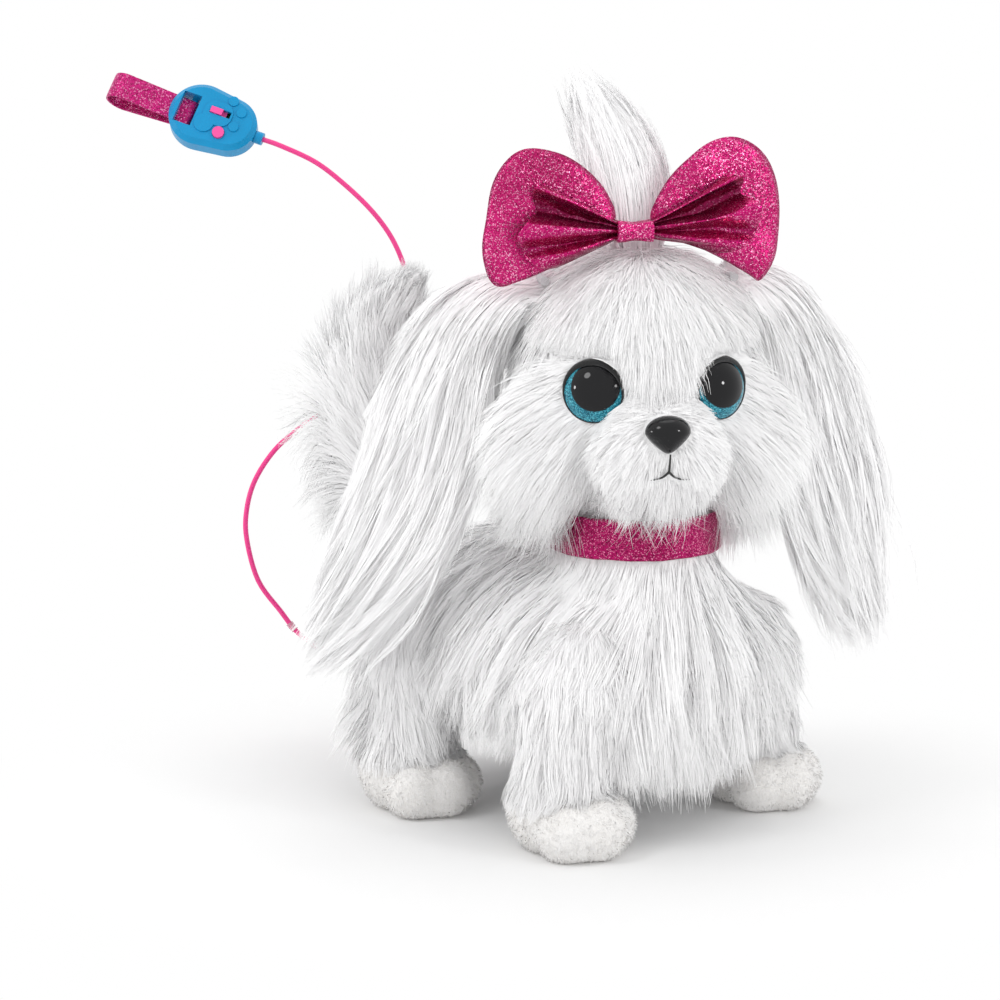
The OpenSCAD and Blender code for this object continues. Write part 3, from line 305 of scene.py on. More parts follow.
# The foil's last argument turns on a painted shade deep in its folds.
FOIL = glitter_material(
    "bow_foil", (0.24, 0.002, 0.06), (0.58, 0.010, 0.165), (1.0, 0.4, 0.62), 0.45, 0.22, 0.85, 0.2, True,
)
WEBBING = glitter_material(
    "strap_glitter", (0.24, 0.002, 0.07), (0.68, 0.010, 0.23), (1.0, 0.4, 0.65), 0.5, 0.4, 0.65, 0.5,
)
BLUE = moulded_material("remote_blue", (0.002, 0.27, 0.55), 0.34, 0.08, specular=0.22)
PINK = moulded_material("button_pink", (0.86, 0.06, 0.33), 0.35, 0.3)
CORD = moulded_material("cord_pink", (0.83, 0.03, 0.25), 0.4, 0.2)
SLEEVE, sleeve_shader = shader_of(
    "clear_sleeve", (0.97, 0.95, 0.96), 0.15, {"Transmission Weight": 0.75, "IOR": 1.3}
)
bump(SLEEVE, sleeve_shader, noise(SLEEVE, 900, 2), 0.2, 0.00005)
BLACK = moulded_material("nose_black", (0.006, 0.006, 0.007), 0.12, 0.0, 400, specular=0.3)
LID = nap_material("lid_felt", (0.004, 0.004, 0.004), (0.016, 0.016, 0.018), 2500)
THREAD = nap_material("mouth_thread", (0.006, 0.006, 0.006), (0.03, 0.03, 0.03), 4000)

CAD_LOOKS = {
    "grey_plastic": moulded_material("chassis_grey", (0.55, 0.55, 0.56), 0.5),
    "dark_plastic": moulded_material("tray_dark", (0.02, 0.02, 0.022), 0.5),
    "nylon": moulded_material("gear_nylon", (0.80, 0.75, 0.62), 0.45),
    "black_gloss": BLACK,
    "blue_plastic": BLUE,
    "pink_plastic": PINK,
    "board_green": moulded_material("board_lacquer", (0.01, 0.09, 0.03), 0.35, 0.3),
    "steel": metal_material("bright_steel", (0.62, 0.62, 0.64), 0.28),
    "brass": metal_material("turned_brass", (0.72, 0.50, 0.17), 0.3),
    "cell_jacket": moulded_material("cell_wrap", (0.30, 0.18, 0.03), 0.35, 0.3),
    "grey_rubber": moulded_material("gland_rubber", (0.55, 0.54, 0.55), 0.75, 0, 1500),
}
for row in frame["record"]["subparts"]:
    look = CAD_LOOKS.get(row["material_slot"])
    if look:
        shown = frame["nodes"][row["node"]].data.materials
        shown.clear()
        shown.append(look)

# Meshes


def mesh_of(name, verts, faces, material):
    mesh = bpy.data.meshes.new(name)
    mesh.from_pydata([tuple(v) for v in np.asarray(verts, float)], [], [tuple(f) for f in faces])
    mesh.polygons.foreach_set("use_smooth", np.ones(len(mesh.polygons), bool))
    mesh.materials.append(material)
    mesh.update()
    return placed(name, mesh)


def dress(piece, body, node=None):
    """Sets what a piece rides on, and hides the CAD node that it stands for."""
    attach(piece, body)
    if node:
        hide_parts(node)


def outward(obj):
    """Turns every face of a closed piece to the outside."""
    form = bmesh.new()
    form.from_mesh(obj.data)
    bmesh.ops.recalc_face_normals(form, faces=form.faces)
    form.to_mesh(obj.data)
    form.free()
    return obj


def grid_faces(rows, columns, closed_rows=False, closed_columns=False):
    faces = []
    for i in range(rows if closed_rows else rows - 1):
        for j in range(columns if closed_columns else columns - 1):
            a, b = i * columns + j, i * columns + (j + 1) % columns
            after = ((i + 1) % rows) * columns
            c, d = after + (j + 1) % columns, after + j
            faces.append((a, b, c, d))
    return faces


def head_piece(name, verts, faces, material):
    """A closed piece in the head's own frame."""
    verts = np.reshape(verts, (-1, 3))
    return outward(mesh_of(name, metres(from_head(verts)), faces, material))


def capped_faces(rows, columns):
    """A tube of rings with a flat cap at each end."""
    caps = [tuple(range(columns)), tuple(range((rows - 1) * columns, rows * columns))]
    return grid_faces(rows, columns, False, True) + caps


def dome_faces(rings, around):
    """A fan round the first point, the rings after it, and a flat back on the last."""
    faces = [(0, 1 + j, 1 + (j + 1) % around) for j in range(around)]
    for i in range(rings - 1):
        for j in range(around):
            a, b = 1 + i * around + j, 1 + i * around + (j + 1) % around
            faces.append((a, a + around, b + around, b))
    back = 1 + (rings - 1) * around
    return faces + [tuple(range(back, back + around))]


def squared(a, power):
    """Cosine and sine of an angle, pulled out towards a square."""
    return [math.copysign(abs(v) ** power, v) for v in (math.cos(a), math.sin(a))]


def map_points(obj, name, places):
    """A map that gives each point of a mesh its own place."""
    layer = obj.data.uv_layers.new(name=name)
    for loop in obj.data.loops:
        layer.data[loop.index].uv = places[loop.vertex_index]


def ball(p, middle, r):
    return np.linalg.norm(p - np.asarray(middle, float), axis=-1) - r


def capsule(p, a, b, r):
    a = np.asarray(a, float)
    run = np.asarray(b, float) - a
    t = np.clip(((p - a) @ run) / (run @ run), 0, 1)
    return np.linalg.norm(p - a - t[..., None] * run, axis=-1) - r


def soft_union(k, *fields):
    d = fields[0]
    for e in fields[1:]:
        h = np.clip(0.5 + 0.5 * (e - d) / k, 0, 1)
        d = e * (1 - h) + d * h - k * h * (1 - h)
    return d


def slope(field, p, h=0.5):
    steps = np.eye(3) * h
    return unit(np.stack([field(p + s) - field(p - s) for s in steps], -1))


def outside(field, gap):
    """Keeps points clear of a form."""

    def push(p):
        d = field(p)
        near = d < gap
        if near.any():
            p = p.copy()
            p[near] += slope(field, p[near]) * (gap - d[near])[:, None]
        return p

    return push


def cast_form(field, middle, reach, level=6):
    """The skin of a form that every ray from its middle leaves once: points, triangles, normals."""
    form = bmesh.new()
    bmesh.ops.create_icosphere(form, subdivisions=level, radius=1)
    rays = np.array([v.co[:] for v in form.verts])
    tris = np.array([[v.index for v in f.verts] for f in form.faces])
    form.free()
    middle = np.asarray(middle, float)
    low, high = np.zeros(len(rays)), np.full(len(rays), float(reach))
    for _ in range(26):
        mid = (low + high) / 2
        inner = field(middle + rays * mid[:, None]) < 0
        low, high = np.where(inner, mid, low), np.where(inner, high, mid)
    verts = middle + rays * low[:, None]
    return verts, tris, slope(field, verts)


def scatter(skin, count, rng, weight=None):
    """Roots spread over a skin, with the skin's normal at each."""
    verts, tris, normals = skin
    a, b, c = (verts[tris[:, k]] for k in range(3))
    share = np.linalg.norm(np.cross(b - a, c - a), axis=1)
    if weight is not None:
        share = share * weight((a + b + c) / 3)
    pick = rng.choice(len(tris), count, p=share / share.sum())
    u, v = rng.random((2, count))
    over = u + v > 1
    u, v = np.where(over, 1 - u, u)[:, None], np.where(over, 1 - v, v)[:, None]
    at = [verts[tris[pick, k]] for k in range(3)]
    facing = [normals[tris[pick, k]] for k in range(3)]
    w = 1 - u - v
    return at[0] * w + at[1] * u + at[2] * v, unit(facing[0] * w + facing[1] * u + facing[2] * v)


def along_skin(wish, normals):
    """A wished direction, laid flat on the skin."""
    return unit(wish - normals * np.sum(wish * normals, -1, keepdims=True))


def grow(roots, normals, comb, length, lift, droop, spread, rng, steps=5, keep=()):
    """Strands that leave the skin at an angle, follow the comb and droop by their weight."""
    lift = np.broadcast_to(np.asarray(lift, float), len(roots))[:, None]
    droop = np.broadcast_to(np.asarray(droop, float), len(roots))[:, None]
    run = unit(comb * np.cos(lift) + normals * np.sin(lift) + rng.normal(0, spread, comb.shape))
    step = (np.asarray(length, float) / steps)[:, None]
    at = roots - normals * 0.8
    points = [at]
    for _ in range(steps):
        at = at + run * step
        for push in keep:
            at = push(at)
        points.append(at)
        run = unit(run + DOWN * droop / steps)
    return np.stack(points, 1)


def locks(paths, share, strength, rng, wave=0.05):
    """Gathers strands towards a few of their neighbours to the tips, and waves each lock as one."""
    count, points, _ = paths.shape
    leaders = rng.choice(count, max(2, int(count * share)), replace=False)
    tree = KDTree(len(leaders))
    for i, k in enumerate(leaders):
        tree.insert(paths[k, 0], i)
    tree.balance()
    near = np.array([tree.find(p)[1] for p in paths[:, 0]])
    pull = (strength * rng.uniform(0.3, 1.3, len(leaders)))[near][:, None, None]
    t = np.linspace(0, 1, points)[None, :, None]
    reach = np.linalg.norm(paths[:, -1] - paths[:, 0], axis=1)[:, None, None]
    drift = rng.normal(0, 1, (len(leaders), 3))[near][:, None, :]
    sway = rng.normal(0, 1, (len(leaders), 3))[near][:, None, :]
    turns = rng.uniform(0.5, 1.1, len(leaders))[near][:, None, None]
    start = rng.uniform(0, 1, len(leaders))[near][:, None, None]
    ripple = np.sin(2 * np.pi * (turns * t + start)) - np.sin(2 * np.pi * start)
    return (
        paths
        + (paths[leaders[near]] - paths) * np.minimum(pull, 1) * t**1.5
        + drift * reach * wave * t**2
        + sway * reach * wave * 0.6 * ripple * t
    )


def strands(name, body, place, paths, normals, width, material, rng, roll=0.6):
    """Tapered ribbons, split into pieces that stay small enough to keep every strand."""
    paths = place(paths)
    normals = place(normals) - place(np.zeros(3))
    count, points, _ = paths.shape
    run = unit(np.gradient(paths, axis=1))
    side = unit(np.cross(run, np.broadcast_to(normals[:, None, :], run.shape)))
    turn = rng.normal(0, roll, count)[:, None, None]
    side = side * np.cos(turn) + np.cross(run, side) * np.sin(turn)
    facing = unit(np.cross(side, run) * 0.2 + normals[:, None, :])
    t = np.linspace(0, 1, points)
    half = rng.uniform(0.7, 1.3, (count, 1)) * width / 2 * (1 - 0.8 * t**2.2)[None, :]
    edges = np.stack([paths - side * half[..., None], paths + side * half[..., None]], 2)
    tint = (rng.integers(0, 64, count)[:, None] + np.array([0.15, 0.85])) / 64
    pieces = max(1, math.ceil(count * (points - 1) / STRAND_LIMIT))
    made = []
    for k, part in enumerate(np.array_split(np.arange(count), pieces)):
        n = len(part)
        verts = metres(edges[part].reshape(-1, 3))
        base = (np.arange(n)[:, None] * points + np.arange(points - 1)) * 2
        quads = np.stack([base, base + 1, base + 3, base + 2], -1).reshape(-1, 4)
        label = name if pieces == 1 else f"{name}_{k + 1}"
        mesh = bpy.data.meshes.new(label)
        mesh.vertices.add(len(verts))
        mesh.vertices.foreach_set("co", verts.astype(np.float32).ravel())
        mesh.loops.add(quads.size)
        mesh.loops.foreach_set("vertex_index", quads.ravel().astype(np.int32))
        mesh.polygons.add(len(quads))
        mesh.polygons.foreach_set("loop_start", (np.arange(len(quads)) * 4).astype(np.int32))
        mesh.polygons.foreach_set("use_smooth", np.ones(len(quads), bool))
        across = np.broadcast_to(tint[part][:, None, :], (n, points, 2))
        down = np.broadcast_to(t[None, :, None], (n, points, 2))
        uv = np.stack([across, down], -1).reshape(-1, 2)[quads.ravel()]
        layer = mesh.uv_layers.new(name="OFBake")
        layer.data.foreach_set("uv", uv.astype(np.float32).ravel())
        mesh.materials.append(material)
        mesh.update(calc_edges=True)
        soft = np.repeat(facing[part].reshape(-1, 3), 2, axis=0)
        mesh.normals_split_custom_set_from_vertices(soft.tolist())
        piece = placed(label, mesh)
        dress(piece, body)
        made.append(piece)
    return made


def skin_piece(name, body, place, skin, material, node, open_at=None):
    verts, tris, _ = skin
    if open_at is not None:
        tris = tris[~open_at(verts[tris].mean(1))]
    made = outward(mesh_of(name, metres(place(verts)), tris, material))
    dress(made, body, node)
    return made


def same(p):
    return np.asarray(p, float)


# Leash: the cord leaves the rump's gland and goes into the remote's nozzle

REMOTE_AT, REMOTE_L = np.array([-18.0, 249.0, 310.0]), 46.0
REMOTE_AXES = np.array(
    [[0.5629, -0.7644, -0.3164], [0.5614, 0.0726, 0.8243], [-0.6067, -0.6416, 0.4695]]
)
ROUTE = [
    (0, 80, 60), (0, 100, 60), (0, 130, 56), (-2, 160, 49), (-6, 182, 46), (-10, 196, 52),
    (-15, 204, 63), (-23, 212, 79), (-26, 217, 100), (-25, 218, 115), (-20, 217, 130), (-11, 212, 145),
    (0, 205, 156), (18, 193, 172), (36, 181, 195), (46, 177, 218), (49, 177, 229), (48, 180, 240),
    (45, 186, 253), (38, 193, 266), (28, 202, 279), (17, 211, 290),
] + [tuple(REMOTE_AT + (REMOTE_L / 2 + d) * REMOTE_AXES[0]) for d in (14, 4, -2)]
CORD_R = 1.3
GLAND_MOUTH = (0, 99, 60)
SLEEVE_SPANS = [(24, 28), (31, 34), (76, 80)]


def from_remote(p):
    return np.asarray(p, float) @ REMOTE_AXES + REMOTE_AT


def tube(name, points, r, material):
    curve = bpy.data.curves.new(name, "CURVE")
    curve.dimensions = "3D"
    curve.bevel_depth = r / 1000
    curve.bevel_resolution = 4
    curve.use_fill_caps = True
    spline = curve.splines.new("POLY")
    spline.points.add(len(points) - 1)
    for slot_point, p in zip(spline.points, metres(points)):
        slot_point.co = (*p, 1)
    spline.use_smooth = True
    curve.materials.append(material)
    return placed(name, curve)


cord_line = smooth_path(ROUTE, 6)
cord = tube("leash", cord_line, CORD_R, CORD)
dress(cord, "dog", "leash_cord")
for k, (first, last) in enumerate(SLEEVE_SPANS):
    sleeve = tube(f"leash_sleeve_{k + 1}", cord_line[first:last], CORD_R + 0.6, SLEEVE)
    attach(sleeve, "dog")
tuple(metres(GLAND_MOUTH))

# Torso

TORSO_MIDDLE, TORSO_HALF = np.array([0.0, 8.0, 86.0]), np.array([60.0, 82.0, 43.0])
DOOR = (27.0, -40.0, 32.5)


def torso_field(p):
    q = (p - TORSO_MIDDLE) / TORSO_HALF
    flat = q[..., 0] ** 2 + q[..., 2] ** 2
    shell = ((q[..., 1] ** 4 + flat**2) ** 0.25 - 1) * 45
    neck = capsule(p, NECK + [0, 0, 100], NECK + [0, 0, 128], 36)
    return soft_union(10, shell, neck)


def over_door(p):
    return (np.abs(p[:, 0]) < DOOR[0]) & (p[:, 1] > DOOR[1]) & (p[:, 1] < DOOR[2]) & (p[:, 2] < 60)


torso = cast_form(torso_field, (0, -5, 92), 140)
skin_piece("torso_skin", "dog", same, torso, BACKING, "body_plush", over_door)


def torso_weight(p):
    bare = (p[:, 2] > 131) & (np.hypot(p[:, 0], p[:, 1] - NECK[1]) < 42)
    return np.where(bare | over_door(p), 0.0, 1.0 + 0.5 * (p[:, 1] < -30))


def torso_fur(count, seed, lengths, lift, droop, gather):
    rng = np.random.default_rng(seed)
    roots, normals = scatter(torso, count, rng, torso_weight)
    wish = np.stack(
        [
            0.9 * np.sign(roots[:, 0]) * np.maximum(normals[:, 2], 0)
            + 0.25 * normals[:, 0],
            0.25 * (1 - np.maximum(-normals[:, 1], 0)),
            np.full(count, -1.0),
        ],
        -1,
    )
    comb = along_skin(wish + rng.normal(0, 0.1, wish.shape), normals)
    under = rise(-normals[:, 2], 0.3, 0.8)
    length = rng.uniform(*lengths, count) * (1 - 0.45 * under)
    length *= 0.65 + 0.35 * rise(128 - roots[:, 2], 0, 18)
    length *= 1 + 0.3 * rise(-roots[:, 1], 35, 60)
    length = np.minimum(length, np.maximum(roots[:, 2] - 24, 7) * rng.uniform(0.9, 1.2, count))
    paths = grow(roots, normals, comb, length, lift, droop, 0.05, rng, 6, [outside(torso_field, 1.0)])
    paths = locks(paths, gather, 0.45, rng, 0.065)
    return strands("torso_coat", "dog", same, paths, normals, STRAND_W, COAT, rng)


torso_fur(62000, 12, (30, 48), 0.27, 1.0, 0.03)

# Collar


def ring_band(name, r, low, high, thick, material):
    around, rim = 160, 16
    verts = []
    for i in range(around):
        a = 2 * math.pi * i / around
        ripple = 0.35 * math.sin(7 * a + 1) + 0.2 * math.sin(16 * a)
        for j in range(rim):
            deep, tall = squared(2 * math.pi * j / rim, 0.35)
            rr = r + thick / 2 * (1 + deep) + 0.25 * ripple
            z = (low + high) / 2 + (high - low) / 2 * tall + 0.5 * ripple
            verts.append((rr * math.cos(a), NECK[1] + rr * math.sin(a), z))
    return outward(mesh_of(name, metres(verts), grid_faces(around, rim, True, True), material))


collar = ring_band("collar_band", 38.6, 129.5, 148.5, 1.7, COLLAR)
dress(collar, "dog", "collar")

# Legs and paws


def leg_field(p):
    thigh = capsule(p, (50, 0, 80), (54, 0, 74), 24)
    shank = capsule(p, (61, 0, 72), (63, 0, 30), 19)
    return soft_union(8, thigh, shank)


TOES = [(-11, -15), (0, -21), (11, -15)]


def paw_field(p):
    heel = ball(p, (PAW_X, 2, 19), 23.5)
    toes = [ball(p, (PAW_X + x, y, 12.5), 14.5) for x, y in TOES]
    return soft_union(3.6, heel, *toes)


leg_skin = cast_form(leg_field, (61, 0, 56), 80, 5)
paw_skin = cast_form(paw_field, (PAW_X, -4, 14), 60, 6)
paw_skin[0][:, 2] = np.maximum(paw_skin[0][:, 2], 0.6)

for number, (name, (side, end)) in enumerate(LEGS.items()):
    rng = np.random.default_rng(40 + number)
    place = from_leg(side, end)
    body = f"{name}_leg"
    skin_piece(
        f"{name}_leg_skin", body, place, leg_skin, BACKING, f"{name}_leg_plush",
    )
    skin_piece(f"{name}_paw_skin", body, place, paw_skin, PAW_NAP, f"{name}_paw")
    roots, normals = scatter(leg_skin, 11500, rng, lambda p: np.where(p[:, 2] > 24, 1.0, 0))
    wish = np.array([0.12, 0.05, -1.0]) + 0.3 * normals * [1, 1 + 4 * (end > 0), 0]
    comb = along_skin(wish + rng.normal(0, 0.1, roots.shape), normals)
    length = rng.uniform(17, 30, len(roots)) * (1 - 0.35 * rise(roots[:, 2], 60, 85))
    feather = 0.4 * (end > 0) * rise(normals[:, 1], 0.1, 0.7)
    length = length * (1 + 2.0 * feather)
    length = np.minimum(length, (roots[:, 2] - 17) * rng.uniform(0.8, 1.1, len(roots)))
    paths = grow(
        roots, normals, comb, length, 0.28 - 0.12 * rise(roots[:, 2], 55, 80) + feather, 0.9, 0.06,
        rng, 5, [outside(leg_field, 0.8), outside(paw_field, 1.2)],
    )
    paths = locks(paths, 0.045, 0.45, rng, 0.06)
    strands(f"{name}_leg_coat", body, place, paths, normals, STRAND_W, COAT, rng)
    roots, normals = scatter(
        paw_skin, 9000, rng, lambda p: np.where((p[:, 2] > 1.2) & (p[:, 2] < 38), 1.0, 0)
    )
    comb = along_skin(rng.normal(0, 1, roots.shape) + [0, -0.5, -0.8], normals)
    paths = grow(roots, normals, comb, rng.uniform(1.8, 3.4, len(roots)), 0.75, 0.3, 0.1, rng, 2)
    paths[..., 2] = np.maximum(paths[..., 2], 0.4)
    strands(f"{name}_paw_fuzz", body, place, paths, normals, 0.45, FUZZ, rng)

# Tail

TAIL_PATH = [
    (0, 90, 115), (0, 106, 122), (0, 128, 140), (0, 142, 168), (0, 146, 194), (0, 138, 217),
    (0, 123, 236),
]
TAIL_WIDTH = [8, 16, 32, 36, 30, 18, 3]
tail_line = smooth_path(TAIL_PATH, 8)
tail_wide = smooth_path([(w, 0, 0) for w in TAIL_WIDTH], 8)[:, 0]
tail_run = unit(np.gradient(tail_line, axis=0))
core = np.maximum(6.0, 0.7 * tail_wide)
core[-3:] = [4, 2.5, 1]


def tail_field(p):
    return np.min([ball(p, middle, r) for middle, r in zip(tail_line, core)], axis=0)


tail_form = cast_form(tail_field, (0, 136, 172), 120)
skin_piece("tail_skin", "tail", same, tail_form, BACKING, "tail_plush")

rng = np.random.default_rng(21)
count = 22000
roots, normals = scatter(tail_form, count, rng)
k = np.argmin(np.linalg.norm(roots[:, None] - tail_line, axis=-1) - core, axis=1)
comb = along_skin(tail_run[k], normals) + normals * 0.1
hang = rise(-roots[:, 2], -200, -150) * rise(normals[:, 1] - 0.6 * normals[:, 2], -0.3, 0.6)
comb = unit(comb * (1 - hang[:, None]) + hang[:, None] * (DOWN + 0.15 * normals))
length = (0.3 * tail_wide[k] + 18) * rng.uniform(0.7, 1.15, count) * (1 + 0.3 * hang)
steps = np.linalg.norm(np.diff(tail_line, axis=0), axis=1)
left = np.append(np.cumsum(steps[::-1])[::-1], 0.0)
length = np.minimum(length, left[k] + rng.uniform(5, 11, count))
paths = grow(
    roots, normals, comb, length, 0.26, 0.15 + 0.7 * hang, 0.07, rng, 6, [outside(tail_field, 0.8)],
)
paths = locks(paths, 0.035, 0.45, rng, 0.07)
strands("tail_coat", "tail", same, paths, normals, 0.41, COAT, rng)

# Head

EYE_AT, EYE_YAW, EYE_UP, EYE_R = (np.array([29.0, -44.0, 208.5]), math.radians(27), math.radians(4), 14.0)
NOSE_AT = np.array([0.0, -66.0, 192.5])
MOUTH = [
    [(0.4, 183.5), (0.2, 180), (0, 175.5)],
    [(0, 175.5), (-2.5, 173.2), (-5.2, 172.2), (-8, 171.6)],
    [(0, 175.5), (2.5, 173.2), (6, 171.8), (10.5, 171.4)],
]


def head_field(p):
    skull = ball(p, (0, 0, SKULL_Z), 52)
    cheeks = [ball(p, (s * 30, -13, 189), 30) for s in (-1, 1)]
    muzzle = ball(p, (0, -41, 185), 24.5)
    lips = [ball(p, (s * 9, -48, 180), 17) for s in (-1, 1)]
    throat = capsule(p, (0, 0, 160), (0, 0, 190), 30)
    return soft_union(9, skull, *cheeks, muzzle, *lips, throat)


def eye_frame(side):
    """Middle of an eye and the directions across, up and out of the face."""
    yaw = side * EYE_YAW
    out = np.array(
        [math.sin(yaw) * math.cos(EYE_UP), -math.cos(yaw) * math.cos(EYE_UP), math.sin(EYE_UP)]
    )
    across = np.array([math.cos(yaw), math.sin(yaw), 0])
    return EYE_AT * [side, 1, 1], across, np.cross(out, across), out


def eye_distance(p):
    return np.minimum(*[np.linalg.norm(p - eye_frame(s)[0], axis=-1) for s in (-1, 1)])


mouth_line = np.concatenate([smooth_path([(x, 0, z) for x, z in line], 6) for line in MOUTH])


def mouth_distance(p):
    d = np.linalg.norm(p[:, None, [0, 2]] - mouth_line[None, :, [0, 2]], axis=-1).min(1)
    return np.where(p[:, 1] < -45, d, 99.0)


def nose_distance(p):
    return np.where(p[:, 1] < -45, np.linalg.norm((p - NOSE_AT)[:, [0, 2]] * [0.9, 1.1], axis=-1), 99.0)


head_skin = cast_form(head_field, (0, -10, 198), 140)
skin_piece("head_skin", "head", from_head, head_skin, BACKING, "head_plush")


def head_weight(p):
    keep = (
        (eye_distance(p) > 13.2) & (mouth_distance(p) > 1.0) & (nose_distance(p) > 9.0) & (p[:, 2] > 150)
    )
    return np.where(keep, 1.0 + 0.8 * (p[:, 1] < -5), 0.0)


def head_fur(name, count, seed):
    rng = np.random.default_rng(seed)
    roots, normals = scatter(head_skin, count, rng, head_weight)
    x, y, z = roots.T
    brow = rise(z, 221, 229) * rise(-y, -22, 0)
    muzzle = rise(-y, 44, 52) * rise(-z, -206, -198)
    cheek = rise(np.abs(x), 20, 40) * rise(-z, -222, -205) * rise(-y, -20, 0) * (1 - muzzle)
    from_nose = roots - [0, -70, 199]
    face_way = unit(from_nose * [1, 0, 0.75]) * np.array([1.1, 1, 1]) + np.array([0, 0.35, -0.55])
    down_way = np.stack([0.006 * x, 0.1 * np.ones(count), -np.ones(count)], -1)
    blend = np.maximum(rise(-y, 5, 30) * (1 - brow), muzzle)[:, None]
    wish = face_way * blend + down_way * (1 - blend)
    comb = along_skin(wish + rng.normal(0, 0.12, wish.shape), normals)
    length = 20 * np.ones(count)
    length = length * (1 - brow) + 27 * brow
    length = length * (1 - muzzle) + 12.5 * muzzle
    length += cheek * 12
    bridge = rise(-np.abs(x), -18, -10) * rise(-y, 35, 45) * rise(z, 196, 202) * (1 - brow)
    length = length * (1 - bridge) + 7 * bridge
    chin = muzzle * rise(-z, -172, -166)
    length += chin * 9
    nape = rise(-z, -176, -164) * (1 - muzzle)
    length += nape * 10
    length *= 0.42 + 0.58 * rise(eye_distance(roots), 14, 24)
    length *= 0.4 + 0.6 * rise(mouth_distance(roots), 1.0, 8)
    length *= 0.45 + 0.55 * rise(nose_distance(roots), 9, 17)
    length *= rng.uniform(0.75, 1.2, count)
    hem = 223.5 - 21 * rise(-np.abs(x), -15, -9)
    room = np.maximum(z - hem, 1.5) * rng.uniform(1.0, 1.12, count)
    fringe = (z > 221) & (y < 5) & (np.abs(x) < 44)
    length = np.where(fringe, np.minimum(length, room), length)
    lift = 0.34 + 0.1 * cheek - 0.16 * brow
    paths = grow(
        roots, normals, comb, length, lift, 0.35 + 0.5 * cheek + 0.35 * brow, 0.07, rng, 5,
        [outside(head_field, 0.8)],
    )
    paths = locks(paths, 0.05, 0.25, rng, 0.04)
    for s in (-1, 1):
        middle, across, up, out = eye_frame(s)
        away = paths - middle
        flat = np.stack([away @ across, away @ up], -1)
        far = np.linalg.norm(flat, axis=-1)
        clear = EYE_R + 1.2 - 3.4 * rise(-flat[..., 1], 2, 9)
        short = np.where((far < clear) & (away @ out > -4), clear - far, 0)[..., None]
        flat = unit(flat) * short
        paths = paths + flat[..., :1] * across + flat[..., 1:] * up
    strands(name, "head", from_head, paths, normals, 0.34, COAT, rng)


head_fur("head_coat", 80000, 31)

# Topknot

KNOT_BASE, KNOT_LEAN = np.array([-1.0, 7.0, 264.0]), np.array([-22.0, 15.0, 80.0])
angles = np.linspace(0, 2 * math.pi, 24, endpoint=False)
KNOT_SHARE = [0.7, 0.85, 0.97, 1, 0.94, 0.8, 0.58, 0.08]


def knot_middle(t):
    t = np.asarray(t)
    return KNOT_BASE + KNOT_LEAN * np.stack([t**3, t, t], -1)


def knot_width(t):
    return 19 * np.interp(t, np.linspace(0, 1, 8), KNOT_SHARE)


knot_t = np.linspace(0, 0.93, 24)
knot_rings = knot_middle(knot_t)[:, None, :] + 0.7 * knot_width(knot_t)[:, None, None] * (
    np.cos(angles)[None, :, None] * np.array([1.0, 0, 0])
    + np.sin(angles)[None, :, None] * np.array([0, 0.85, 0])
)
knot_faces = capped_faces(len(knot_t), len(angles))
knot_skin = head_piece("topknot_core", knot_rings, knot_faces, BACKING)
dress(knot_skin, "head", "topknot")

rng = np.random.default_rng(51)
count = 13000
start = rng.uniform(0, 0.6, count)
finish = np.minimum(start + rng.uniform(0.35, 0.8, count), rng.uniform(0.75, 1.03, count))
a = rng.uniform(0, 2 * math.pi, count)
ring = np.stack([np.cos(a), 0.85 * np.sin(a), np.zeros(count)], -1)
far = rng.uniform(0.7, 1.05, count)
s = np.linspace(0, 1, 8)
t = start[:, None] + (finish - start)[:, None] * s
spread = knot_width(t) * (far[:, None] + 0.08 * s) + 0.4
paths = knot_middle(t) + ring[:, None, :] * spread[..., None]
paths = locks(paths, 0.05, 0.35, rng)
facing = unit(ring + [0, 0, 0.6])
strands("topknot_coat", "head", from_head, paths, facing, 0.36, COAT, rng, 0.3)

# Ears

EAR_ROOT = np.array([50.0, 7.0, 246.0])
EAR_DROP, EAR_W, EAR_T = 172.0, 58.0, 14.0


def ear_middle(t, stand, flare, bend, sweep):
    """Line along an ear; below 0 it goes over the wire that the ear is sewn to."""
    t = np.asarray(t, float)
    over = np.minimum(t, 0)
    hang = np.maximum(t, 0) ** 1.5
    out = stand * (1 + 5 * over - (1 - np.clip(t, 0, 1)) ** 5)
    out = out + flare * np.maximum(t, 0) ** bend
    return EAR_ROOT + np.stack([out, sweep * hang, -EAR_DROP * hang - 130 * over], -1)


def ear_axes(t, form, facing):
    spread = np.array([math.sin(math.radians(facing)), math.cos(math.radians(facing)), 0.0])
    before = np.where(t < 0, t - 0.02, np.maximum(t - 0.02, 0))
    run = unit(ear_middle(t + 0.02, *form) - ear_middle(before, *form))
    wide = unit(spread - run * (run @ spread)[..., None])
    return run, wide, np.cross(wide, run)


def ear_half(t):
    t = np.clip(t, 0, 1)
    return EAR_W / 2 * (0.62 + 0.38 * np.sin(np.pi * t**1.6)) * (1 - 0.6 * t**8)


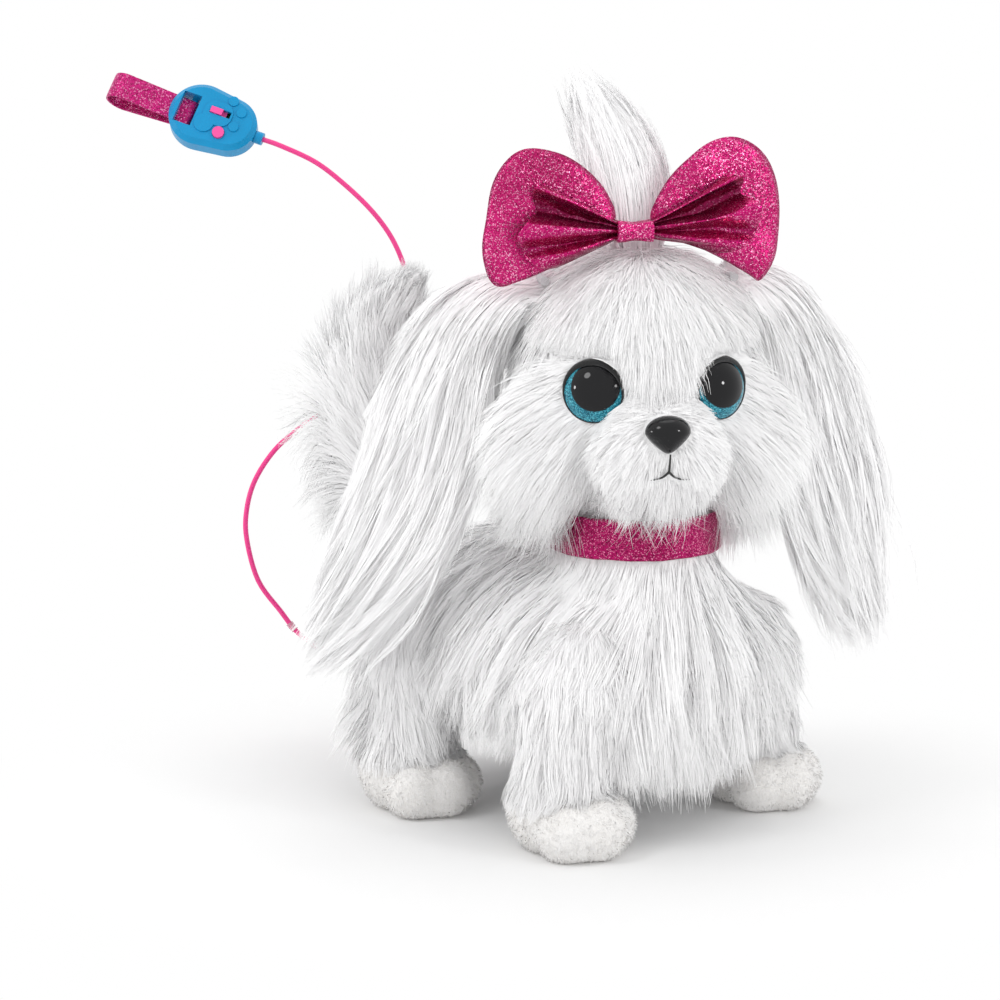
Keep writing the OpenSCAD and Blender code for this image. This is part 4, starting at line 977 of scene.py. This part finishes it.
def make_ear(name, side, form, facing, seed):
    def place(p):
        p = np.array(p, float)
        p[..., 0] *= side
        return from_head(p)

    t = np.linspace(0.02, 0.93, 40)
    run, wide, deep = ear_axes(t, form, facing)
    half, thick = 0.86 * ear_half(t), 0.28 * EAR_T * (1 - 0.5 * t)
    rings = (
        ear_middle(t, *form)[:, None, :]
        + (half[:, None] * np.cos(angles))[..., None] * wide[:, None, :]
        + (thick[:, None] * np.sin(angles))[..., None] * deep[:, None, :]
    )
    faces = capped_faces(len(t), len(angles))
    flap = outward(mesh_of(f"{name}_flap", metres(place(rings.reshape(-1, 3))), faces, BACKING))
    dress(flap, name, name)

    rng = np.random.default_rng(seed)
    count, points = 24000, 8
    start = np.where(
        rng.random(count) < 0.12, rng.uniform(-0.07, 0, count), rng.uniform(-0.02, 0.86, count)
    )
    reach = rng.uniform(0.2, 0.46, count)
    stop = np.minimum(start + reach, 1.0 + rng.uniform(-0.13, 0.02, count))
    across = np.clip(rng.uniform(-1.03, 1.03, count), -1, 1)
    face = np.where(rng.random(count) < 0.5, -1.0, 1.0)
    s = np.linspace(0, 1, points)
    t = start[:, None] + (stop - start)[:, None] * s
    run, wide, deep = ear_axes(t.ravel(), form, facing)
    wide, deep = wide.reshape(count, points, 3), deep.reshape(count, points, 3)
    lane = across[:, None] * (1 + rng.normal(0.02, 0.05, count)[:, None] * s)
    puff = EAR_T * (1 - 0.5 * np.clip(t, 0, 1)) * np.sqrt(1.05 - across[:, None] ** 2)
    puff = puff * (0.26 + 0.24 * np.sin(np.pi * np.minimum(s * 1.15, 1))) + rng.uniform(
        0, 1.6, (count, 1)
    )
    paths = (
        ear_middle(t.ravel(), *form).reshape(count, points, 3)
        + wide * (ear_half(t) * lane)[..., None]
        + deep * (face[:, None] * puff)[..., None]
    )
    paths = locks(paths, 0.035, 0.5, rng)
    normals = deep[:, 0] * face[:, None]
    strands(f"{name}_coat", name, place, paths, normals, STRAND_W, COAT, rng)


make_ear("right_ear", -1, (39, 62, 3.5, 8), 55, 61)
make_ear("left_ear", 1, (29, 38, 2, 9), 66, 62)

# Eyes


def eye_material():
    """A glossy black pupil, set up and in on a ring of teal glitter."""
    mat, shader = shader_of("eye_gloss", (0.005, 0.005, 0.006), 0.06, {"Specular IOR Level": 0.3})
    uv = add(mat, "ShaderNodeUVMap", uv_map="face").outputs["UV"]
    place = vector_math(mat, "SUBTRACT", {0: uv, 1: (0.5, 0.5, 0)})[0]
    pupil = vector_math(mat, "ADD", {0: place, 1: (0.06, -0.09, 0)})[0]
    far = vector_math(mat, "LENGTH", {0: pupil})["Value"]
    rim = vector_math(mat, "LENGTH", {0: place})["Value"]
    cells = flakes(mat, 0.42)
    flake = add(mat, "ShaderNodeSeparateColor", {"Color": cells}).outputs["Red"]
    teal = ramp(
        mat, flake, [(0.0, (0.002, 0.05, 0.08)), (0.5, (0.006, 0.16, 0.24)), (1.0, (0.10, 0.55, 0.66))],
    )
    ring = add(mat, "ShaderNodeMapRange", {"Value": far, "From Min": 0.385, "From Max": 0.405})
    edge = add(
        mat, "ShaderNodeMapRange",
        {"Value": rim, "From Min": 0.478, "From Max": 0.488, "To Min": 1.0, "To Max": 0.0},
    )
    shown = maths(mat, "MULTIPLY", ring.outputs["Result"], edge.outputs["Result"])
    mixed = add(mat, "ShaderNodeMix", {0: shown, 6: (0.004, 0.004, 0.005, 1), 7: teal}, data_type="RGBA")
    paint(mat, shader, mixed.outputs[2])
    return mat


EYE = eye_material()


def make_eye(name, side):
    middle, across, up, out = eye_frame(side)
    rings, around = 20, 64
    dome, base = EYE_R + 3, 9.64
    top = math.asin(EYE_R / dome)
    verts, places = [middle + out * (dome - base)], [(0.5, 0.5)]
    for i in range(1, rings + 1):
        tilt = top * i / rings
        r = dome * math.sin(tilt)
        for j in range(around):
            a = 2 * math.pi * j / around
            way = across * math.cos(a) + up * math.sin(a)
            verts.append(middle + way * r + out * (dome * math.cos(tilt) - base))
            flat = 0.5 * r / EYE_R
            places.append((0.5 + side * flat * math.cos(a), 0.5 + flat * math.sin(a)))
    for j in range(around):
        a = 2 * math.pi * j / around
        way = across * math.cos(a) + up * math.sin(a)
        verts.append(middle + way * (EYE_R - 1) - out * 2.5)
        places.append((0.5 + side * 0.49 * math.cos(a), 0.5 + 0.49 * math.sin(a)))
    faces = dome_faces(rings + 1, around)
    made = head_piece(f"{name}_dome", verts, faces, EYE)
    map_points(made, "face", places)
    dress(made, "head", name)

    # A dark felt lid round the eye, thickest above it
    verts, turns, rim = [], 72, 10
    for i in range(turns):
        a = 2 * math.pi * i / turns
        way = across * math.cos(a) + up * math.sin(a)
        thick = 0.3 + 0.65 * (0.5 + 0.5 * math.sin(a)) + 0.6 * max(0.0, math.sin(a)) ** 0.8
        for j in range(rim):
            b = 2 * math.pi * j / rim
            verts.append(
                middle
                + way * (EYE_R - 0.5 * thick + thick * math.cos(b))
                + out * (0.9 * thick + 1.2 * thick * math.sin(b))
            )
    lid = head_piece(f"{name}_lid", verts, grid_faces(turns, rim, True, True), LID)
    dress(lid, "head")


make_eye("right_eye", -1)
make_eye("left_eye", 1)

# Nose and mouth


def nose_edge(a):
    """The nose's outline at an angle: a low dome above, narrowing to a round point below."""
    low = max(0.0, -math.sin(a))
    return np.array([10.4 * math.cos(a) * (1 - 0.42 * low**1.6), (7.3 + 2.6 * low) * math.sin(a)])


def make_nose():
    rings, around = 18, 72
    edge = [nose_edge(2 * math.pi * j / around) for j in range(around)]
    verts = [NOSE_AT + [0, -8.6, 0.6]]
    for i in range(1, rings + 1):
        share = i / rings
        deep = 8.6 * (1 - share**2.4) ** 0.6
        verts += [NOSE_AT + [share * x, -deep, 0.6 + share * z] for x, z in edge]
    verts += [NOSE_AT + [0.93 * x, 2.0, 0.6 + 0.93 * z] for x, z in edge]
    faces = dome_faces(rings + 1, around)
    made = head_piece("nose_button", verts, faces, BLACK)
    dress(made, "head", "nose")


make_nose()

for k, line in enumerate(MOUTH):
    flat = smooth_path([(x, 0, z) for x, z in line], 8)
    low, high = np.full(len(flat), -95.0), np.full(len(flat), -30.0)
    for _ in range(26):
        mid = (low + high) / 2
        inner = head_field(np.stack([flat[:, 0], mid, flat[:, 2]], -1)) < 2.2
        low, high = np.where(inner, low, mid), np.where(inner, mid, high)
    stitch = tube(f"mouth_{k + 1}", from_head(np.stack([flat[:, 0], low, flat[:, 2]], -1)), 0.55, THREAD)
    ends = np.linspace(0, 1, len(flat))
    for point, share in zip(stitch.data.splines[0].points, ends):
        point.radius = 1.15 - 0.75 * share if k else 0.7 + 0.4 * share
    dress(stitch, "head")
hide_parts("mouth_stitch")

# Bow

BOW_AT = np.array([-5.0, -12.0, 277.0])
WINGS = {
    "right": [
        (-8, 3.4), (-8.5, 10), (-13.4, 19.4), (-21.2, 27.7), (-31.8, 34.5), (-44.5, 37.6),
        (-53.2, 35.9), (-60, 29.6), (-64.4, 20), (-66.8, 6.3), (-68.4, -4.4), (-67.8, -13),
        (-65, -21.5), (-60, -24.8), (-50.3, -21.8), (-36.7, -16.5), (-22, -9.2), (-8, -4),
    ],
    "left": [
        (8, 3.4), (8.9, 10.2), (14.8, 20.9), (23.5, 30.6), (34.2, 38.6), (44.9, 41.6), (54.6, 38.8),
        (62.3, 32), (67, 21.8), (68.9, 9.2), (68.7, -5.3), (66.8, -15), (60.4, -24.3), (54.6, -21.4),
        (41, -13.5), (26.4, -7), (8, -3.6),
    ],
}


def make_wing(name, side, outline):
    edge = smooth_loop([(x, z, 0) for x, z in outline], 6)[:, :2]
    hub = np.array([side * 40.0, 6.0])
    around, rings = len(edge), 14
    verts = []
    for sheet_side in (-1, 1):
        for i in range(rings + 1):
            share = i / rings
            flat = hub + (edge - hub) * share
            puff = 2.6 * (1 - share**4) ** 0.5
            bow = 3.0 * (np.abs(flat[:, 0]) / 68) ** 2 - 0.02 * (flat[:, 1] - 6)
            wave = 0.5 * np.sin(0.22 * flat[:, 0] + 0.16 * flat[:, 1]) * share
            y = -2 + bow + wave + sheet_side * puff
            verts += [BOW_AT + [f[0], yy, f[1]] for f, yy in zip(flat, y)]
    half = (rings + 1) * around
    faces = grid_faces(rings + 1, around, False, True)
    faces += [tuple(half + v for v in reversed(f)) for f in faces]
    made = mesh_of(f"bow_wing_{name}", metres(from_head(verts)), faces, GLITTER)
    form = bmesh.new()
    form.from_mesh(made.data)
    bmesh.ops.remove_doubles(form, verts=form.verts, dist=1e-6)
    bmesh.ops.recalc_face_normals(form, faces=form.faces)
    form.to_mesh(made.data)
    form.free()
    dress(made, "head")
    return made


# Fold lines of each inner loop from its top lip down: angle, reach and swell forward
FOLDS = {
    "right": [
        (27, 46, 2.5), (25, 51, 9.0), (20, 50, 2.0), (12, 46, 0.8), (5, 52, 9.8), (-1, 55, 8.6),
        (-8, 53, 3.2), (-15, 50, 7.4), (-20, 46, 5.2), (-24, 39, 0.6),
    ],
    "left": [
        (30, 47, 2.5), (28, 53, 9.0), (24, 55, 2.0), (18, 52, 0.8), (12, 58, 9.8), (6, 57, 8.6),
        (-1, 56, 3.2), (-7, 52, 7.4), (-12, 46, 5.2), (-16, 39, 0.6),
    ],
}


def make_loop(name, side, seed):
    """A gathered inner loop: folds fan out of the band, swell forward and stand open at the end."""
    rng = np.random.default_rng(seed)
    lines = smooth_path(FOLDS[name], 10)
    rows, columns = len(lines), 44
    v = np.linspace(0, 1, columns)[None, :]
    along = np.linspace(0, 1, rows)[:, None]
    sag = sum(
        rng.normal(0, 1.6) * np.sin(np.pi * (k * along + rng.uniform(0, 2))) * np.sin(np.pi * v) ** 2
        for k in (2, 3, 5)
    )
    angle = np.radians(lines[:, :1] + sag)
    r = 5 + (lines[:, 1:2] - 5) * v
    open_end = np.sin(np.pi * (0.06 + 0.58 * v)) ** 0.9
    crease = sum(
        rng.normal(0, 0.35) * np.sin(2 * np.pi * (k * v + 3 * along + rng.uniform(0, 1)))
        for k in (1.3, 2.1, 3.4)
    )
    swell = np.maximum(lines[:, 2:3] * open_end + crease * np.sin(np.pi * v), 0.3)
    verts = BOW_AT + np.stack([side * r * np.cos(angle), -4.4 - swell, r * np.sin(angle)], -1)
    made = mesh_of(
        f"bow_loop_{name}", metres(from_head(verts.reshape(-1, 3))), grid_faces(rows, columns), FOIL,
    )
    # The fold map carries each point's swell, which sets the foil's painted shade in the pockets.
    fold = np.stack([swell / 10, np.broadcast_to(v, swell.shape)], -1).reshape(-1, 2)
    map_points(made, "fold", fold)
    solid = made.modifiers.new("thickness", "SOLIDIFY")
    solid.thickness = 0.0006
    solid.offset = 0
    smooth = made.modifiers.new("smooth", "SUBSURF")
    smooth.levels = smooth.render_levels = 1
    dress(made, "head")
    return made


wings = [make_wing(n, -1 if n == "right" else 1, o) for n, o in WINGS.items()]
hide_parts("bow_wings")
loops = [make_loop("right", -1, 71), make_loop("left", 1, 72)]
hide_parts("bow_loops")


def make_band():
    rows, columns = 40, 48
    verts = []
    for i in range(rows):
        x = -8 + 16 * i / (rows - 1)
        pinch = 1 - 0.16 * math.cos(math.pi * x / 16) ** 2
        for j in range(columns):
            a = 2 * math.pi * j / columns
            crease = 1 + 0.05 * math.sin(9 * a + 0.25 * x)
            deep, tall = squared(a, 0.6)
            y, z = deep * 6.0 * crease * pinch, tall * 4.8 * crease * pinch
            verts.append(BOW_AT + [x, y - 5, z])
    faces = capped_faces(rows, columns)
    made = head_piece("bow_band", verts, faces, GLITTER)
    dress(made, "head", "bow_knot")


make_band()

# Wrist strap, a flat band round the bar of the remote's window

BAR, BAR_R, STRAP_END, STRAP_END_R, STRAP_T, STRAP_W = (
    np.array([-13.5, -2.2]), 2.0, np.array([-48.5, -2.2]), 7.0, 1.2, 14.0,
)


def strap_line():
    """The band's middle: round the bar, along to the open end, round it and back."""
    lean = math.asin((STRAP_END_R - BAR_R) / (BAR[0] - STRAP_END[0]))
    near, far = BAR_R + STRAP_T / 2, STRAP_END_R + STRAP_T / 2
    open_turn = np.linspace(math.pi / 2 - lean, -math.pi / 2 + lean, 14)
    end_turn = np.linspace(-math.pi / 2 + lean, -3 * math.pi / 2 - lean, 26)
    first = BAR + near * np.stack([np.cos(open_turn), np.sin(open_turn)], -1)
    last = STRAP_END + far * np.stack([np.cos(end_turn), np.sin(end_turn)], -1)
    down = first[-1] + (last[0] - first[-1]) * np.linspace(0, 1, 16)[1:-1, None]
    back = last[-1] + (first[0] - last[-1]) * np.linspace(0, 1, 16)[1:-1, None]
    return np.concatenate([first, down, last, back])


def make_strap():
    line = strap_line()
    run = unit(np.roll(line, -1, 0) - np.roll(line, 1, 0))
    out = np.stack([-run[:, 1], run[:, 0]], -1)
    turns = np.linspace(0, 2 * math.pi, 20, endpoint=False)
    rim = [[0.5 * v for v in squared(b, 0.3)] for b in turns]
    verts = []
    for p, o in zip(line, out):
        for across, thick in rim:
            q = p + o * thick * (STRAP_T - 0.1)
            verts.append((q[0], across * (STRAP_W - 0.4), q[1]))
    faces = grid_faces(len(line), len(rim), True, True)
    made = outward(mesh_of("strap_band", metres(from_remote(verts)), faces, WEBBING))
    dress(made, "dog", "wrist_strap")


make_strap()

# Floor, light and background


def make_floor():
    mat = bpy.data.materials.new("studio_floor")
    mat.use_nodes = True
    tree = mat.node_tree
    tree.nodes.remove(tree.nodes["Principled BSDF"])
    place = object_place(mat)
    far = vector_math(mat, "LENGTH", {0: place})["Value"]
    fade = add(
        mat, "ShaderNodeMapRange", {"Value": far, "From Min": 0.14, "From Max": 0.29},
        interpolation_type="SMOOTHSTEP",
    ).outputs["Result"]
    rays = add(mat, "ShaderNodeLightPath").outputs
    seen = maths(mat, "ADD", rays["Is Camera Ray"], rays["Is Glossy Ray"])
    seen = maths(mat, "ADD", seen, rays["Is Transmission Ray"], True)
    share = maths(mat, "MULTIPLY", fade, seen)
    matt = add(mat, "ShaderNodeBsdfDiffuse", {"Color": (0.83, 0.83, 0.83, 1)})
    glow = add(mat, "ShaderNodeEmission", {"Color": (1, 1, 1, 1), "Strength": 1.0})
    mixed = add(mat, "ShaderNodeMixShader", {0: share, 1: matt.outputs[0], 2: glow.outputs[0]})
    join(mat, mixed.outputs[0], tree.nodes["Material Output"].inputs["Surface"])
    size = 6.0
    floor = mesh_of(
        "floor", [(-size, -size, 0), (size, -size, 0), (size, size, 0), (-size, size, 0)],
        [(0, 1, 2, 3)], mat,
    )
    floor.location = metres((0, 8, 0))


make_floor()

world = bpy.data.worlds.new("studio")
bpy.context.scene.world = world
world.use_nodes = True
world.node_tree.nodes["Background"].inputs["Color"].default_value = (1, 1, 1, 1)
world.node_tree.nodes["Background"].inputs["Strength"].default_value = 1.0

# The camera's right and up, from which the lamps are placed
RIGHT = np.array([0.7266, -0.6871, 0.0])
UP = np.array([0.1240, 0.1312, 0.9836])
TARGET = metres((0, 0, 160))


def lamp(name, right, up, back_off, size, power):
    data = bpy.data.lights.new(name, "AREA")
    data.shape = "DISK"
    data.size = size
    data.energy = power
    made = placed(name, data)
    at = TARGET + right * RIGHT + up * UP - back_off * VIEW
    made.location = at
    made.rotation_euler = Vector(TARGET - at).to_track_quat("-Z", "Y").to_euler()


lamp("key", -0.9, 1.1, 0.9, 0.5, 4.5)
lamp("left_box", -1.5, 0.2, 0.3, 0.2, 2.2)
lamp("right_box", 1.15, 0.3, 1.0, 0.2, 3.2)
lamp("top", 0.0, 1.6, -0.3, 1.2, 3.5)
